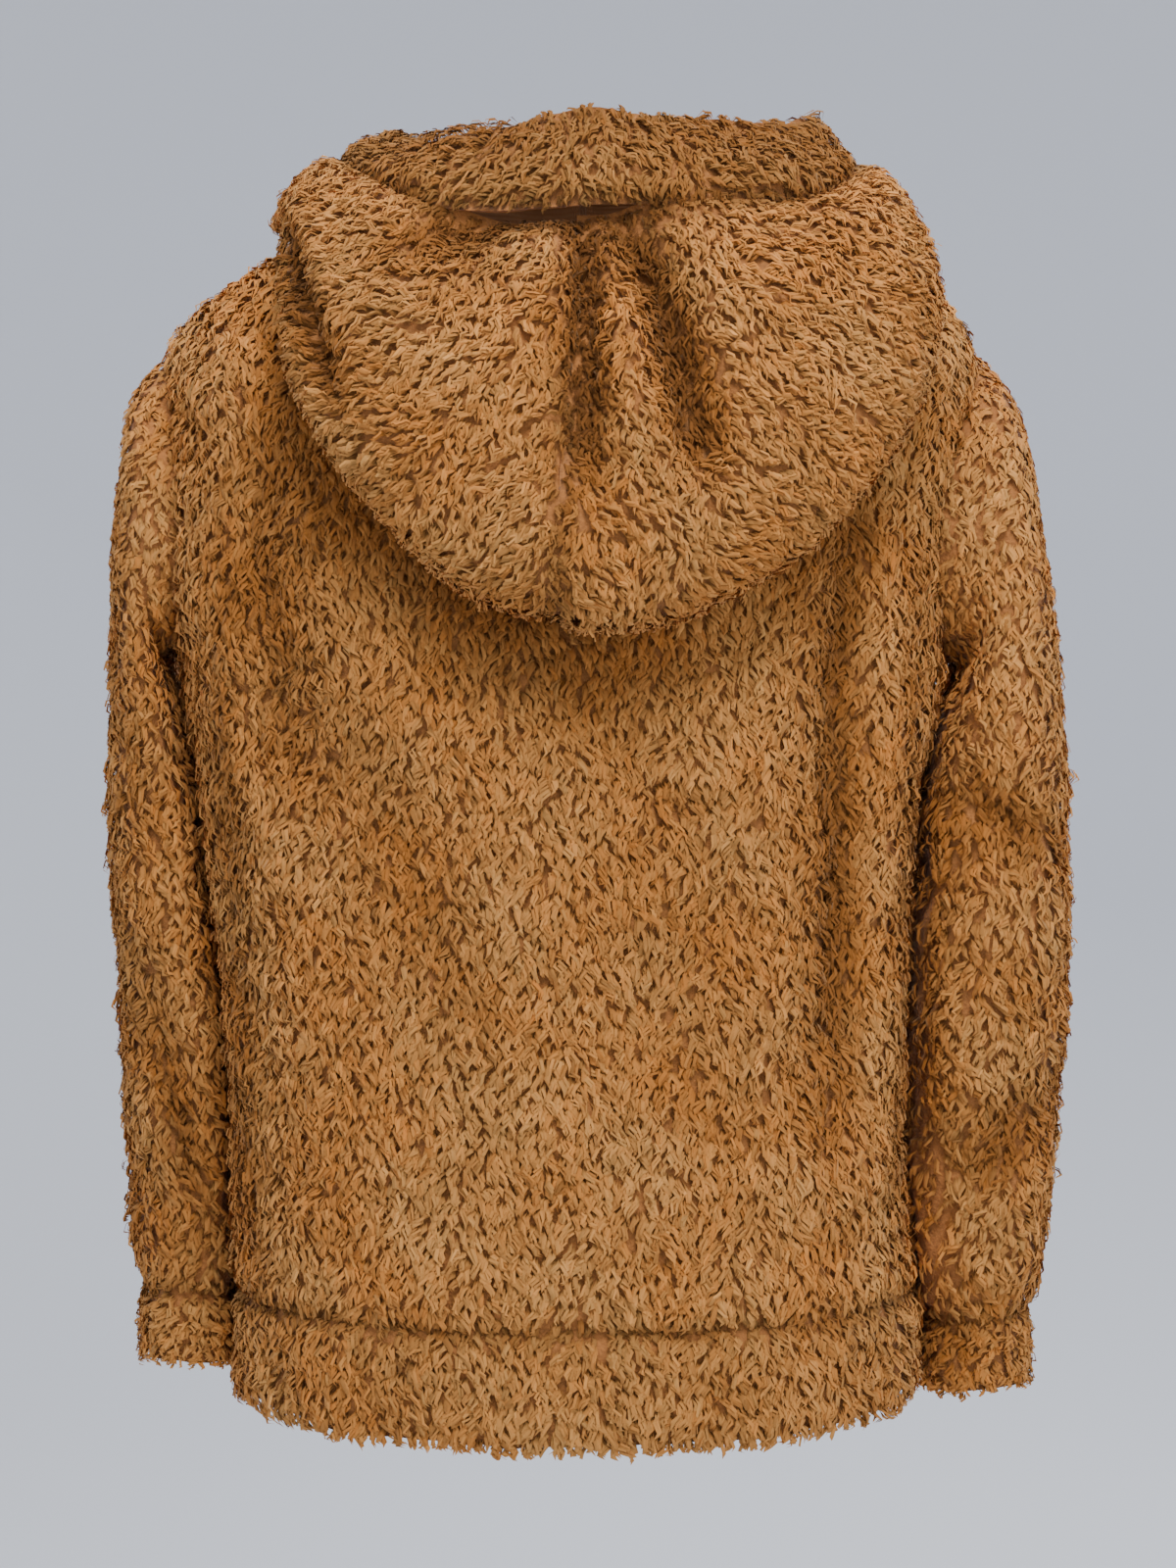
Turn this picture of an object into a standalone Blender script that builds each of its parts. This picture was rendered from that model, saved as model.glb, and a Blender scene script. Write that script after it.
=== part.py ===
"""A sherpa zip-up hoodie, hollow and open, with its hood down on the back.

Metres. +Z is up, +Y is the way the wearer faces and +X is the wearer's right. The origin is the middle of
the neck opening, level with the back of the neck.

Each cloth piece is a wall. Its outer grid of points is where the pile ends, and its inner grid lies one wall
thickness inside. Neighbouring pieces share the points of their seam and the direction of the wall there, and
each edge is then drawn back by half the seam gap.

An angle round the body is in degrees: 0 at the centre back, 90 at the right side, 180 at the centre front and
-90 at the left side. A distance down is measured from the neckline on the cloth.
"""

import math

import bmesh
import bpy
import numpy as np
from mathutils import Matrix, Vector

NAME = "sherpa_zip_hoodie"

# Cloth.
WALL = 0.008  # backing and pile together
SEAM_GAP = 0.0003  # between two sewn pieces
SHORT_COLUMN = 0.045  # a grid's column shorter than this takes on its own mean direction
SEAM_DIP = 0.0015  # how far the pile sinks along a seam
CLEARANCE = 0.0040  # between pieces that lie on each other

# Body: distances down the cloth where one part of it ends.
SHOULDER_TIP = 0.178
ARMPIT = 0.360
HEM_SEAM = 0.695
HEM_EDGE = 0.760
ARMHOLE_INSET = {"back": 20.0, "front": 22.0}  # degrees that the armhole takes out of each panel
ARMHOLE_ROUNDNESS = 0.6

BACK_COLUMNS = 24
FRONT_COLUMNS = 12
YOKE_ROWS = 8
ARMHOLE_ROWS = 10
SIDE_ROWS = 12

BODY_LEVELS = (
    ("down", "z_back", "z_side", "z_front", "half", "back", "front", "x", "squareness"),
    (-0.060, 0.055, 0.051, -0.018, 0.064, 0.050, 0.070, 0.000, 2.00),
    (-0.030, 0.026, 0.022, -0.047, 0.068, 0.053, 0.074, 0.000, 2.00),
    (0.000, 0.000, -0.005, -0.075, 0.078, 0.060, 0.082, 0.000, 2.00),
    (0.040, -0.028, -0.014, -0.111, 0.120, 0.088, 0.098, -0.001, 2.05),
    (0.085, -0.066, -0.030, -0.154, 0.165, 0.108, 0.110, -0.002, 2.15),
    (0.130, -0.111, -0.052, -0.198, 0.205, 0.119, 0.118, -0.004, 2.25),
    (0.178, -0.158, -0.085, -0.243, 0.232, 0.124, 0.122, -0.007, 2.30),
    (0.235, -0.205, -0.140, -0.272, 0.234, 0.127, 0.124, -0.012, 2.30),
    (0.300, -0.252, -0.205, -0.300, 0.228, 0.129, 0.126, -0.016, 2.30),
    (0.360, -0.300, -0.270, -0.330, 0.218, 0.130, 0.126, -0.016, 2.30),
    (0.450, -0.375, -0.362, -0.390, 0.204, 0.130, 0.126, -0.016, 2.30),
    (0.560, -0.490, -0.487, -0.492, 0.196, 0.131, 0.126, -0.012, 2.30),
    (0.640, -0.580, -0.580, -0.580, 0.194, 0.133, 0.127, -0.009, 2.30),
    (0.695, -0.635, -0.629, -0.632, 0.197, 0.134, 0.128, -0.006, 2.30),
    (0.760, -0.700, -0.688, -0.692, 0.198, 0.134, 0.128, -0.005, 2.30),
)

# Sleeves: the point nearest the body, the point furthest from it, the middle and half of the depth in Y.
CUFF_SEAM = 10.0  # section numbers
CUFF_EDGE = 12.0
SLEEVE_ROWS = (1.0, 1.5, 2.0, 2.5, 3.0, 3.5, 4.0, 4.5, 5.0, 5.5, 6.0, 6.5, 7.0, 7.5, 8.0, 8.5, 9.0, 9.6)
CUFF_ROWS = (10.0, 10.4, 11.3, 12.0)
SLEEVE_SQUARENESS = 2.5
SLEEVE_CLEARANCE = 0.0035

SLEEVE_RIGHT = (
    ("section", "inner_x", "inner_z", "outer_x", "outer_z", "y", "half_y"),
    (1.0, 0.216, -0.266, 0.243, -0.106, 0.005, 0.060),
    (2.0, 0.224, -0.272, 0.2560, -0.140, 0.008, 0.068),
    (3.0, 0.222, -0.284, 0.2645, -0.195, 0.012, 0.074),
    (4.0, 0.212, -0.305, 0.2740, -0.2525, 0.016, 0.077),
    (5.0, 0.200, -0.350, 0.281, -0.335, 0.020, 0.078),
    (6.0, 0.190, -0.420, 0.283, -0.420, 0.022, 0.076),
    (7.0, 0.184, -0.500, 0.280, -0.500, 0.025, 0.071),
    (8.0, 0.183, -0.570, 0.2740, -0.570, 0.028, 0.066),
    (9.0, 0.187, -0.615, 0.2700, -0.610, 0.030, 0.062),
    (10.0, 0.194, -0.650, 0.2645, -0.645, 0.030, 0.055),
    (11.0, 0.196, -0.672, 0.2630, -0.667, 0.030, 0.054),
    (12.0, 0.198, -0.694, 0.2600, -0.689, 0.030, 0.052),
)
SLEEVE_LEFT = (
    ("section", "inner_x", "inner_z", "outer_x", "outer_z", "y", "half_y"),
    (1.0, -0.243, -0.260, -0.259, -0.108, 0.004, 0.056),
    (2.0, -0.248, -0.267, -0.267, -0.138, 0.016, 0.064),
    (3.0, -0.243, -0.280, -0.2745, -0.185, 0.026, 0.071),
    (4.0, -0.232, -0.310, -0.2775, -0.245, 0.034, 0.074),
    (5.0, -0.219, -0.355, -0.280, -0.335, 0.040, 0.075),
    (6.0, -0.208, -0.420, -0.2790, -0.420, 0.045, 0.074),
    (7.0, -0.198, -0.500, -0.275, -0.500, 0.048, 0.070),
    (8.0, -0.195, -0.570, -0.271, -0.570, 0.048, 0.066),
    (9.0, -0.196, -0.602, -0.2695, -0.600, 0.048, 0.062),
    (10.0, -0.199, -0.638, -0.2660, -0.634, 0.047, 0.056),
    (11.0, -0.200, -0.658, -0.2655, -0.654, 0.047, 0.055),
    (12.0, -0.202, -0.679, -0.2640, -0.676, 0.047, 0.053),
)

# Hood, by the angle of the neckline. Out is along the body from the neckline and up is off the body.
HOOD_BAND_COLUMNS = 4  # columns of the front's neckline that the band takes
HOOD_STEADY = 0.035  # out of the neckline, where the body's own normal takes over
HOOD_BELLY = 0.008  # how far the hood's back bulges
HOOD_ROWS = (
    0.0, 0.5, 1.0, 1.6, 2.3, 3.0, 4.0, 5.0, 5.3, 5.6, 6.0, 6.3, 6.6, 7.0,
    7.5, 8.0, 8.5, 9.0, 9.6, 10.3, 11.1, 12.0,
)
HOOD_SECTIONS = (
    ("angle", "roll", "reach", "thick", "seam_out", "seam_up", "rim_lead", "rim_out", "rim_up", "pouch"),
    (-147.0, 0.000, 0.040, 0.050, 0.000, 0.000, 28.0, 0.000, 0.000, 0.00),
    (-140.0, 0.003, 0.040, 0.050, -0.012, 0.004, 28.0, -0.014, 0.005, 0.00),
    (-132.0, 0.006, 0.045, 0.050, -0.021, 0.012, 26.0, -0.028, 0.014, 0.00),
    (-125.0, 0.008, 0.045, 0.050, -0.020, 0.022, 23.0, -0.034, 0.026, 0.00),
    (-118.0, 0.012, 0.055, 0.050, -0.010, 0.032, 17.5, -0.029, 0.039, 0.00),
    (-111.0, 0.016, 0.060, 0.045, 0.004, 0.040, 13.0, -0.020, 0.048, 0.00),
    (-104.0, 0.020, 0.080, 0.044, 0.0225, 0.045, 8.0, -0.0115, 0.0545, 0.09),
    (-97.0, 0.022, 0.080, 0.045, 0.0325, 0.045, 4.0, 0.0035, 0.0525, 0.34),
    (-90.0, 0.022, 0.080, 0.034, 0.042, 0.044, 0.0, 0.010, 0.048, 1.00),
    (-70.0, 0.022, 0.092, 0.034, 0.052, 0.045, 0.0, 0.022, 0.048, 1.00),
    (-50.0, 0.022, 0.122, 0.036, 0.062, 0.048, 0.0, 0.030, 0.046, 1.00),
    (-25.0, 0.022, 0.214, 0.046, 0.068, 0.048, 0.0, 0.024, 0.054, 1.00),
    (0.0, 0.022, 0.304, 0.052, 0.060, 0.048, 0.0, 0.015, 0.062, 1.00),
    (25.0, 0.022, 0.276, 0.046, 0.066, 0.050, 0.0, 0.022, 0.060, 1.00),
    (50.0, 0.022, 0.180, 0.036, 0.078, 0.050, 0.0, 0.040, 0.062, 1.00),
    (70.0, 0.022, 0.112, 0.034, 0.068, 0.048, 0.0, 0.040, 0.062, 1.00),
    (90.0, 0.022, 0.084, 0.034, 0.048, 0.045, 0.0, 0.016, 0.052, 1.00),
    (97.0, 0.022, 0.080, 0.045, 0.0325, 0.045, 4.0, 0.0035, 0.0525, 0.34),
    (104.0, 0.020, 0.080, 0.044, 0.0225, 0.045, 8.0, -0.0115, 0.0545, 0.09),
    (111.0, 0.016, 0.060, 0.045, 0.004, 0.040, 13.0, -0.020, 0.048, 0.00),
    (118.0, 0.012, 0.055, 0.050, -0.010, 0.032, 17.5, -0.029, 0.039, 0.00),
    (125.0, 0.008, 0.045, 0.050, -0.020, 0.022, 23.0, -0.034, 0.026, 0.00),
    (132.0, 0.006, 0.045, 0.050, -0.021, 0.012, 26.0, -0.028, 0.014, 0.00),
    (140.0, 0.003, 0.040, 0.050, -0.012, 0.004, 28.0, -0.014, 0.005, 0.00),
    (147.0, 0.000, 0.040, 0.050, 0.000, 0.000, 28.0, 0.000, 0.000, 0.00),
)

# Zip, in its own frame: X across, Y out of the cloth and Z up the chain.
ZIP_HALF_OPENING = 0.009
TAPE_INNER = 0.0034
TAPE_OUTER = 0.0078
TAPE_THICK = 0.0012
CHAIN_HALF = 0.0031
CHAIN_THICK = 0.0026
CHAIN_GAP = 0.00015
SLIDER_DOWN = 0.024


def columns(table):
    """A table's columns by name, as arrays."""
    return {name: np.array(values) for name, values in zip(table[0], zip(*table[1:]))}


def read(table, key):
    """Each column of the table at the key, on a smooth curve through its rows.

    The curve is the cubic Hermite one whose slope at a row is that of the chord between its neighbours.
    """
    data = columns(table)
    knots = data.pop(table[0][0])
    key = np.clip(np.asarray(key, float), knots[0], knots[-1])
    row = np.clip(np.searchsorted(knots, key, side="right") - 1, 0, len(knots) - 2)
    step = knots[row + 1] - knots[row]
    t = (key - knots[row]) / step
    curve = {}
    for name, values in data.items():
        slopes = np.gradient(values, knots)
        curve[name] = (
            (2 * t**3 - 3 * t**2 + 1) * values[row]
            + (t**3 - 2 * t**2 + t) * step * slopes[row]
            + (3 * t**2 - 2 * t**3) * values[row + 1]
            + (t**3 - t**2) * step * slopes[row + 1]
        )
    return curve


def signed_power(value, power):
    return np.sign(value) * np.abs(value) ** power


def unit(vectors):
    length = np.linalg.norm(vectors, axis=-1, keepdims=True)
    return vectors / np.maximum(length, 1e-12)


# ------------------------------------------------------------------------------------------------ body


def body(angle, down):
    """Point of the body's outer surface: a superellipse at each level, its level dropping at the front."""
    level = read(BODY_LEVELS, down)
    turn = np.radians(angle)
    across, along = np.sin(turn), np.cos(turn)
    power = 2 / level["squareness"]
    depth = np.where(along > 0, level["back"], level["front"])
    middle_z = np.where(along > 0, level["z_back"], level["z_front"])
    x = level["x"] + level["half"] * signed_power(across, power)
    y = -depth * signed_power(along, power)
    z = across**2 * level["z_side"] + along**2 * middle_z
    return np.stack(np.broadcast_arrays(x, y, z), axis=-1)


def body_normal(angle, down):
    """Outward unit normal of the body's outer surface, from differences."""
    angle = np.asarray(angle, float)
    down = np.asarray(down, float)
    round_body = body(angle + 0.5, down) - body(angle - 0.5, down)
    down_body = body(angle, down + 0.002) - body(angle, down - 0.002)
    return unit(np.cross(down_body, round_body))


def front_edge(down):
    """Angle of a front's centre edge, which leaves half of the zip's opening."""
    level = read(BODY_LEVELS, down)
    return 180 - np.degrees(np.arcsin((ZIP_HALF_OPENING / level["half"]) ** (level["squareness"] / 2)))


def side_edge(down, panel):
    """Angle of a panel's side edge: the shoulder seam, then the armhole, then the side seam."""
    depth = (down - SHOULDER_TIP) / (ARMPIT - SHOULDER_TIP)
    bite = np.sin(np.pi * np.clip(depth, 0, 1)) ** ARMHOLE_ROUNDNESS
    sign = -1 if panel == "back" else 1
    return 90 + sign * ARMHOLE_INSET[panel] * bite


def panel_rows():
    """Distances down the cloth of a panel's rows, with one close to the hem's seam."""
    yoke = np.linspace(0, SHOULDER_TIP, YOKE_ROWS + 1)
    armhole = np.linspace(SHOULDER_TIP, ARMPIT, ARMHOLE_ROWS + 1)[1:]
    side = np.linspace(ARMPIT, HEM_SEAM - 0.008, SIDE_ROWS + 1)[1:]
    return np.concatenate([yoke, armhole, side, [HEM_SEAM]])


def back_panel():
    down = panel_rows()[:, None]
    share = np.linspace(-1, 1, BACK_COLUMNS + 1)[None, :]
    return body(share * side_edge(down, "back"), down)


def front_panel(side):
    down = panel_rows()[:, None]
    share = np.linspace(0, 1, FRONT_COLUMNS + 1)[None, :]
    angle = side_edge(down, "front") * (1 - share) + front_edge(down) * share
    return body(side * angle, down)


def hem_band():
    """The hem band's outer grid, with the same columns as the three panels above it."""
    down = np.array([HEM_SEAM, HEM_SEAM + 0.008, 0.730, HEM_EDGE - 0.006, HEM_EDGE])[:, None]
    tuck = np.array([0.0, 0.0, 0.0, 0.0005, 0.003])[:, None, None]
    front = np.linspace(0, 1, FRONT_COLUMNS + 1)
    right = 90 * (1 - front) + front_edge(down) * front
    back = np.broadcast_to(np.linspace(-90, 90, BACK_COLUMNS + 1), (len(down), BACK_COLUMNS + 1))
    angle = np.concatenate([-right[:, :0:-1], back, right[:, 1:]], axis=1)
    return body(angle, down) - tuck * body_normal(angle, down)


# ---------------------------------------------------------------------------------------------- sleeves


def armhole_loop(side):
    """The armhole's points, from the shoulder down the back edge and up the front edge."""
    down = np.linspace(SHOULDER_TIP, ARMPIT, ARMHOLE_ROWS + 1)
    back = body(side * side_edge(down, "back"), down)
    front = body(side * side_edge(down, "front"), down)
    return np.concatenate([back, front[-2:0:-1]])


def sleeve_rings(side, sections):
    """Rings of the sleeve at the given section numbers, from the armhole's loop.

    A ring is a superellipse between its inner and its outer point. A point that would enter the body is
    moved out to the body's side, so that a ring beside the body is shaped like a D.
    """
    table = SLEEVE_RIGHT if side > 0 else SLEEVE_LEFT
    count = 2 * ARMHOLE_ROWS
    turn = 2 * np.pi * np.arange(count) / count
    power = 2 / SLEEVE_SQUARENESS
    data = columns(table)
    middle_x = (data["inner_x"] + data["outer_x"]) / 2
    middle_z = (data["inner_z"] + data["outer_z"]) / 2
    middle = np.stack([middle_x, data["y"], middle_z], 1)
    outward = np.stack([data["outer_x"], data["y"], data["outer_z"]], 1) - middle
    forward = data["half_y"][:, None] * np.array([0, 1, 0])
    rings = (
        middle[:, None]
        + outward[:, None] * signed_power(np.cos(turn), power)[None, :, None]
        - forward[:, None] * signed_power(np.sin(turn), power)[None, :, None]
    )
    rings = np.concatenate([armhole_loop(side)[None], rings])
    return keep_off_body(np.array([cubic(rings, section) for section in sections]), side)


def keep_off_body(grid, side):
    """Moves a sleeve's points beside the body out to a clearance from it."""
    down = down_at_height(grid[..., 2])
    level = read(BODY_LEVELS, down)
    depth = np.where(grid[..., 1] < 0, level["back"], level["front"])
    share = np.clip(1 - (np.abs(grid[..., 1]) / depth) ** level["squareness"], 0, 1)
    reach = level["half"] * share ** (1 / level["squareness"]) + SLEEVE_CLEARANCE
    own = side * (grid[..., 0] - level["x"])
    beside = (grid[..., 2] < -0.275) & (np.abs(grid[..., 1]) < depth)
    grid[..., 0] = np.where(beside & (own < reach), level["x"] + side * reach, grid[..., 0])
    return grid


def down_at_height(z):
    """Distance down the cloth at a height of the body's side."""
    data = columns(BODY_LEVELS)
    return np.interp(-z, -data["z_side"], data["down"])


# ------------------------------------------------------------------------------------------------- hood


def hood_angles():
    """Angles of the neckline's columns, from one front's band to the other's."""
    back = np.linspace(0, 90, BACK_COLUMNS // 2 + 1)
    front = 90 + (front_edge(0.0) - 90) * np.arange(1, FRONT_COLUMNS + 1) / FRONT_COLUMNS
    half = np.concatenate([back, front[:-HOOD_BAND_COLUMNS]])
    return np.concatenate([-half[:0:-1], half])


def hood_section(angle):
    """The section table at an angle, with the table's ends at the band's ends."""
    end = columns(HOOD_SECTIONS)["angle"][-1]
    last = hood_angles()[-1]
    return read(HOOD_SECTIONS, angle * end / last)


def on_body(angle, out, up):
    """Point of the hood. Near the neckline up keeps the direction it has a little further out."""
    return body(angle, out) + up[..., None] * body_normal(angle, np.maximum(out, HOOD_STEADY))


def hood_path(section, row):
    """Out and up of the hood's outer face at a row number, 0 at the neckline and 12 at the band's seam.

    Behind and beside the neck it is a pouch: it rolls over above the neckline, lies down the body, turns
    round a fold and comes up again. Towards the front it is only the roll.
    """
    roll, reach, thick = section["roll"], section["reach"], section["thick"]
    seam_out, seam_up = section["seam_out"], section["seam_up"]
    lie = CLEARANCE + 0.003 * np.clip((0.20 - reach) / 0.10, 0, 1)
    start = 1.9 * roll
    end = reach - thick / 2
    belly = HOOD_BELLY * np.clip((reach - 0.10) / 0.10, 0, 1)
    zero = np.zeros_like(roll)
    pouch = (
        (zero, zero),
        (-0.30 * roll, 0.50 * roll),
        (-0.05 * roll, 1.00 * roll),
        (0.65 * roll, 1.05 * roll),
        (1.25 * roll, 0.55 * roll),
        (start, lie),
        (start + 0.5 * (end - start), lie),
        (end, lie),
        (reach, lie + thick / 2),
        (end, lie + thick),
        (end + 0.33 * (seam_out - end), lie + thick + 0.4 * (seam_up - lie - thick) + belly),
        (end + 0.66 * (seam_out - end), lie + thick + 0.7 * (seam_up - lie - thick) + belly),
        (seam_out, seam_up),
    )
    bow = 0.4 * roll * np.sin(np.pi * np.arange(13) / 12)[:, None]
    arch = [(seam_out * k / 12 + bow[k], seam_up * k / 12 + bow[k]) for k in range(13)]
    share = section["pouch"]
    blend = [
        [share * p[axis] + (1 - share) * a[axis] for p, a in zip(pouch, arch)]
        for axis in (0, 1)
    ]
    out, up = (cubic(np.array(values), row) for values in blend)
    return out, up


def cubic(values, at):
    """Values at fractional indices of their first axis, on the same Hermite curve as read."""
    row = min(int(at), len(values) - 2)
    t = at - row
    slopes = np.gradient(values, axis=0)
    return (
        (2 * t**3 - 3 * t**2 + 1) * values[row]
        + (t**3 - 2 * t**2 + t) * slopes[row]
        + (3 * t**2 - 2 * t**3) * values[row + 1]
        + (t**3 - t**2) * slopes[row + 1]
    )


def hood_half(side):
    """A hood half's outer grid: rows from the neckline to the band, columns from left to right."""
    angle = hood_angles()
    angle = angle[angle >= -1e-9] if side > 0 else angle[angle <= 1e-9]
    section = hood_section(angle)
    rows = []
    for row in HOOD_ROWS:
        out, up = hood_path(section, row)
        rows.append(on_body(angle, out, up))
    return np.array(rows)


def hood_band():
    """The band's outer grid: rows from its seam to the rim."""
    angle = hood_angles()
    section = hood_section(angle)
    rows = []
    for share in np.linspace(0, 1, HOOD_BAND_COLUMNS + 1):
        lead = angle + np.sign(angle) * section["rim_lead"] * share
        out = section["seam_out"] + (section["rim_out"] - section["seam_out"]) * share
        up = section["seam_up"] + (section["rim_up"] - section["seam_up"]) * share
        rows.append(on_body(lead, out, up))
    grid = np.array(rows)
    for column, side in ((0, -1), (-1, 1)):
        grid[:, column] = front_panel(side)[0, -1 - HOOD_BAND_COLUMNS:]
    return grid


# ------------------------------------------------------------------------------------------------ folds

# A fold is a soft trough, or a ridge where its depth is negative, along a straight line on the back (-1)
# or the front (1) of the garment, with its ends given as heights and places across.
FOLDS = (
    ("face", "x_top", "z_top", "x_low", "z_low", "width", "depth"),
    (-1, 0.150, -0.190, 0.140, -0.520, 0.022, 0.010),
    (-1, 0.172, -0.230, 0.165, -0.560, 0.018, -0.006),
    (-1, -0.190, -0.160, -0.160, -0.330, 0.022, 0.006),
    (-1, -0.120, -0.300, -0.070, -0.470, 0.030, 0.005),
    (-1, 0.030, -0.330, 0.060, -0.500, 0.030, 0.004),
    (1, -0.120, -0.260, -0.100, -0.520, 0.028, 0.009),
    (1, 0.110, -0.250, 0.120, -0.560, 0.028, 0.008),
)
SLEEVE_FOLDS = (
    ("face", "x_top", "z_top", "x_low", "z_low", "width", "depth"),
    (-1, 0.225, -0.345, 0.275, -0.375, 0.016, 0.007),
    (-1, 0.220, -0.545, 0.270, -0.520, 0.018, 0.006),
    (-1, -0.262, -0.430, -0.235, -0.560, 0.016, 0.007),
    (-1, -0.255, -0.560, -0.228, -0.630, 0.014, 0.006),
    (1, 0.225, -0.360, 0.270, -0.330, 0.020, 0.008),
    (1, -0.225, -0.360, -0.268, -0.335, 0.020, 0.008),
)
HOOD_FOLDS = (
    ("face", "x_top", "z_top", "x_low", "z_low", "width", "depth"),
    (-1, 0.000, 0.000, 0.004, -0.175, 0.013, 0.009),
    (-1, 0.030, -0.030, 0.062, -0.160, 0.017, 0.011),
    (-1, -0.030, -0.020, -0.110, -0.052, 0.016, 0.008),
    (-1, -0.165, -0.045, -0.140, -0.110, 0.013, 0.007),
)


def fold_depth(points, normals, table):
    """How far each point sinks into the folds that face its way."""
    depth = np.zeros(points.shape[:-1])
    for row in table[1:]:
        fold = dict(zip(table[0], row))
        top = np.array([fold["x_top"], fold["z_top"]])
        run = np.array([fold["x_low"], fold["z_low"]]) - top
        offset = points[..., [0, 2]] - top
        along = np.clip(offset @ run / (run @ run), 0, 1)
        away = np.linalg.norm(offset - along[..., None] * run, axis=-1)
        fade = np.sin(np.pi * np.clip(0.12 + 0.76 * along, 0, 1)) ** 0.5
        facing = np.clip(fold["face"] * normals[..., 1] * 2.5, 0, 1)
        depth += fold["depth"] * fade * facing * np.exp(-((away / fold["width"]) ** 2))
    return depth


# ------------------------------------------------------------------------------------------------ walls


class Cloth:
    """A cloth piece's grid, which side of it is out, and whether its columns close into a tube.

    Its thickness is a share of the wall's, by row and column, for cloth that is pressed in a tight turn.
    """

    def __init__(self, name, grid, outward=1, tube=False, folds=None, thickness=1.0):
        self.name = name
        self.grid = np.array(grid)
        self.thickness = np.broadcast_to(thickness, self.grid.shape[:-1])
        self.outward = outward
        self.tube = tube
        self.folds = folds

    def own_normals(self):
        down = np.gradient(self.grid, axis=0)
        if self.tube:
            around = np.roll(self.grid, -1, axis=1) - np.roll(self.grid, 1, axis=1)
        else:
            around = np.gradient(self.grid, axis=1)
        normals = self.outward * unit(np.cross(down, around))
        length = np.linalg.norm(np.diff(self.grid, axis=0), axis=-1).sum(axis=0)
        share = np.clip(length / SHORT_COLUMN, 0, 1)[:, None]
        return unit(share * normals + (1 - share) * normals.mean(axis=0))


def seam_key(point):
    return tuple(np.round(point * 1e6).astype(int))


def share_normals(cloths):
    """Wall directions: each piece's own normals, and at a seam those of all the pieces that meet there.

    A direction is made longer where the wall turns at the seam, as in a mitre.
    """
    total, count, thin = {}, {}, {}
    normals = {cloth.name: cloth.own_normals() for cloth in cloths}
    for cloth in cloths:
        own = zip(cloth.grid.reshape(-1, 3), normals[cloth.name].reshape(-1, 3), cloth.thickness.ravel())
        for point, normal, share in own:
            key = seam_key(point)
            thin[key] = min(thin.get(key, 1.0), share)
            total[key] = total.get(key, 0) + normal
            count[key] = count.get(key, 0) + (np.linalg.norm(normal) > 0.5)
    walls, seams = {}, {}
    for cloth in cloths:
        flat = cloth.grid.reshape(-1, 3)
        keys = [seam_key(point) for point in flat]
        mean = np.array([total[key] / max(count[key], 1) for key in keys])
        turn = np.clip(np.linalg.norm(mean, axis=1, keepdims=True), 0.6, 1)
        share = np.array([thin[key] for key in keys])[:, None]
        walls[cloth.name] = (unit(mean) / turn * share).reshape(cloth.grid.shape)
        seams[cloth.name] = np.array([count[key] > 1 for key in keys]).reshape(cloth.grid.shape[:-1])
    return walls, seams


def draw_back(grid, tube):
    """Moves the open edges in by half a seam's gap, and keeps a side that comes to a point as one point."""
    moved = grid.copy()
    moved[0] += unit(grid[1] - grid[0]) * SEAM_GAP / 2
    moved[-1] += unit(grid[-2] - grid[-1]) * SEAM_GAP / 2
    if not tube:
        moved[:, 0] += unit(grid[:, 1] - grid[:, 0]) * SEAM_GAP / 2
        moved[:, -1] += unit(grid[:, -2] - grid[:, -1]) * SEAM_GAP / 2
        for column in (0, -1):
            if np.ptp(grid[:, column], axis=0).max() < SEAM_GAP:
                moved[:, column] = moved[:, column].mean(axis=0)
    return moved


def edge_strip(border, offset, shared):
    """Triangles between the outer and the inner line of an edge.

    Each four-sided cell is cut from the shared seam point that comes first in space, so that the two pieces
    at a seam have the same triangles.
    """
    faces = []
    for a, b in zip(border[:-1], border[1:]):
        if seam_key(shared[a]) < seam_key(shared[b]):
            faces += [(a, b, b + offset), (a, b + offset, a + offset)]
        else:
            faces += [(a, b, a + offset), (b, b + offset, a + offset)]
    return faces


def wall_mesh(cloth, wall, seam):
    """The piece as a closed wall, with its pile sunk a little along its seams and in its folds."""
    outer = cloth.grid - SEAM_DIP * wall * seam[..., None]
    if cloth.folds:
        outer = outer - fold_depth(cloth.grid, wall, cloth.folds)[..., None] * wall * ~seam[..., None]
    inner = outer - (WALL - SEAM_DIP * seam[..., None]) * wall
    outer, inner = draw_back(outer, cloth.tube), draw_back(inner, cloth.tube)
    rows, count = outer.shape[:2]
    points = np.concatenate([outer.reshape(-1, 3), inner.reshape(-1, 3)])
    shared = cloth.grid.reshape(-1, 3)
    offset = rows * count
    index = np.arange(offset).reshape(rows, count)
    if cloth.tube:
        index = np.concatenate([index, index[:, :1]], axis=1)
    faces = []
    squares = (index[:-1, :-1], index[1:, :-1], index[1:, 1:], index[:-1, 1:])
    corners = zip(*(corner.ravel() for corner in squares))
    for a, b, c, d in corners:
        faces += [(a, b, c), (a, c, d)]
        faces += [(a + offset, c + offset, b + offset), (a + offset, d + offset, c + offset)]
    faces += edge_strip(index[0], offset, shared)
    faces += edge_strip(index[-1, ::-1], offset, shared)
    if not cloth.tube:
        faces += edge_strip(index[::-1, 0], offset, shared)
        faces += edge_strip(index[:, -1], offset, shared)
    if cloth.outward < 0:
        faces = [face[::-1] for face in faces]
    mesh = bpy.data.meshes.new(cloth.name)
    mesh.from_pydata(points.tolist(), [], [tuple(int(i) for i in face) for face in faces])
    return mesh


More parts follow.
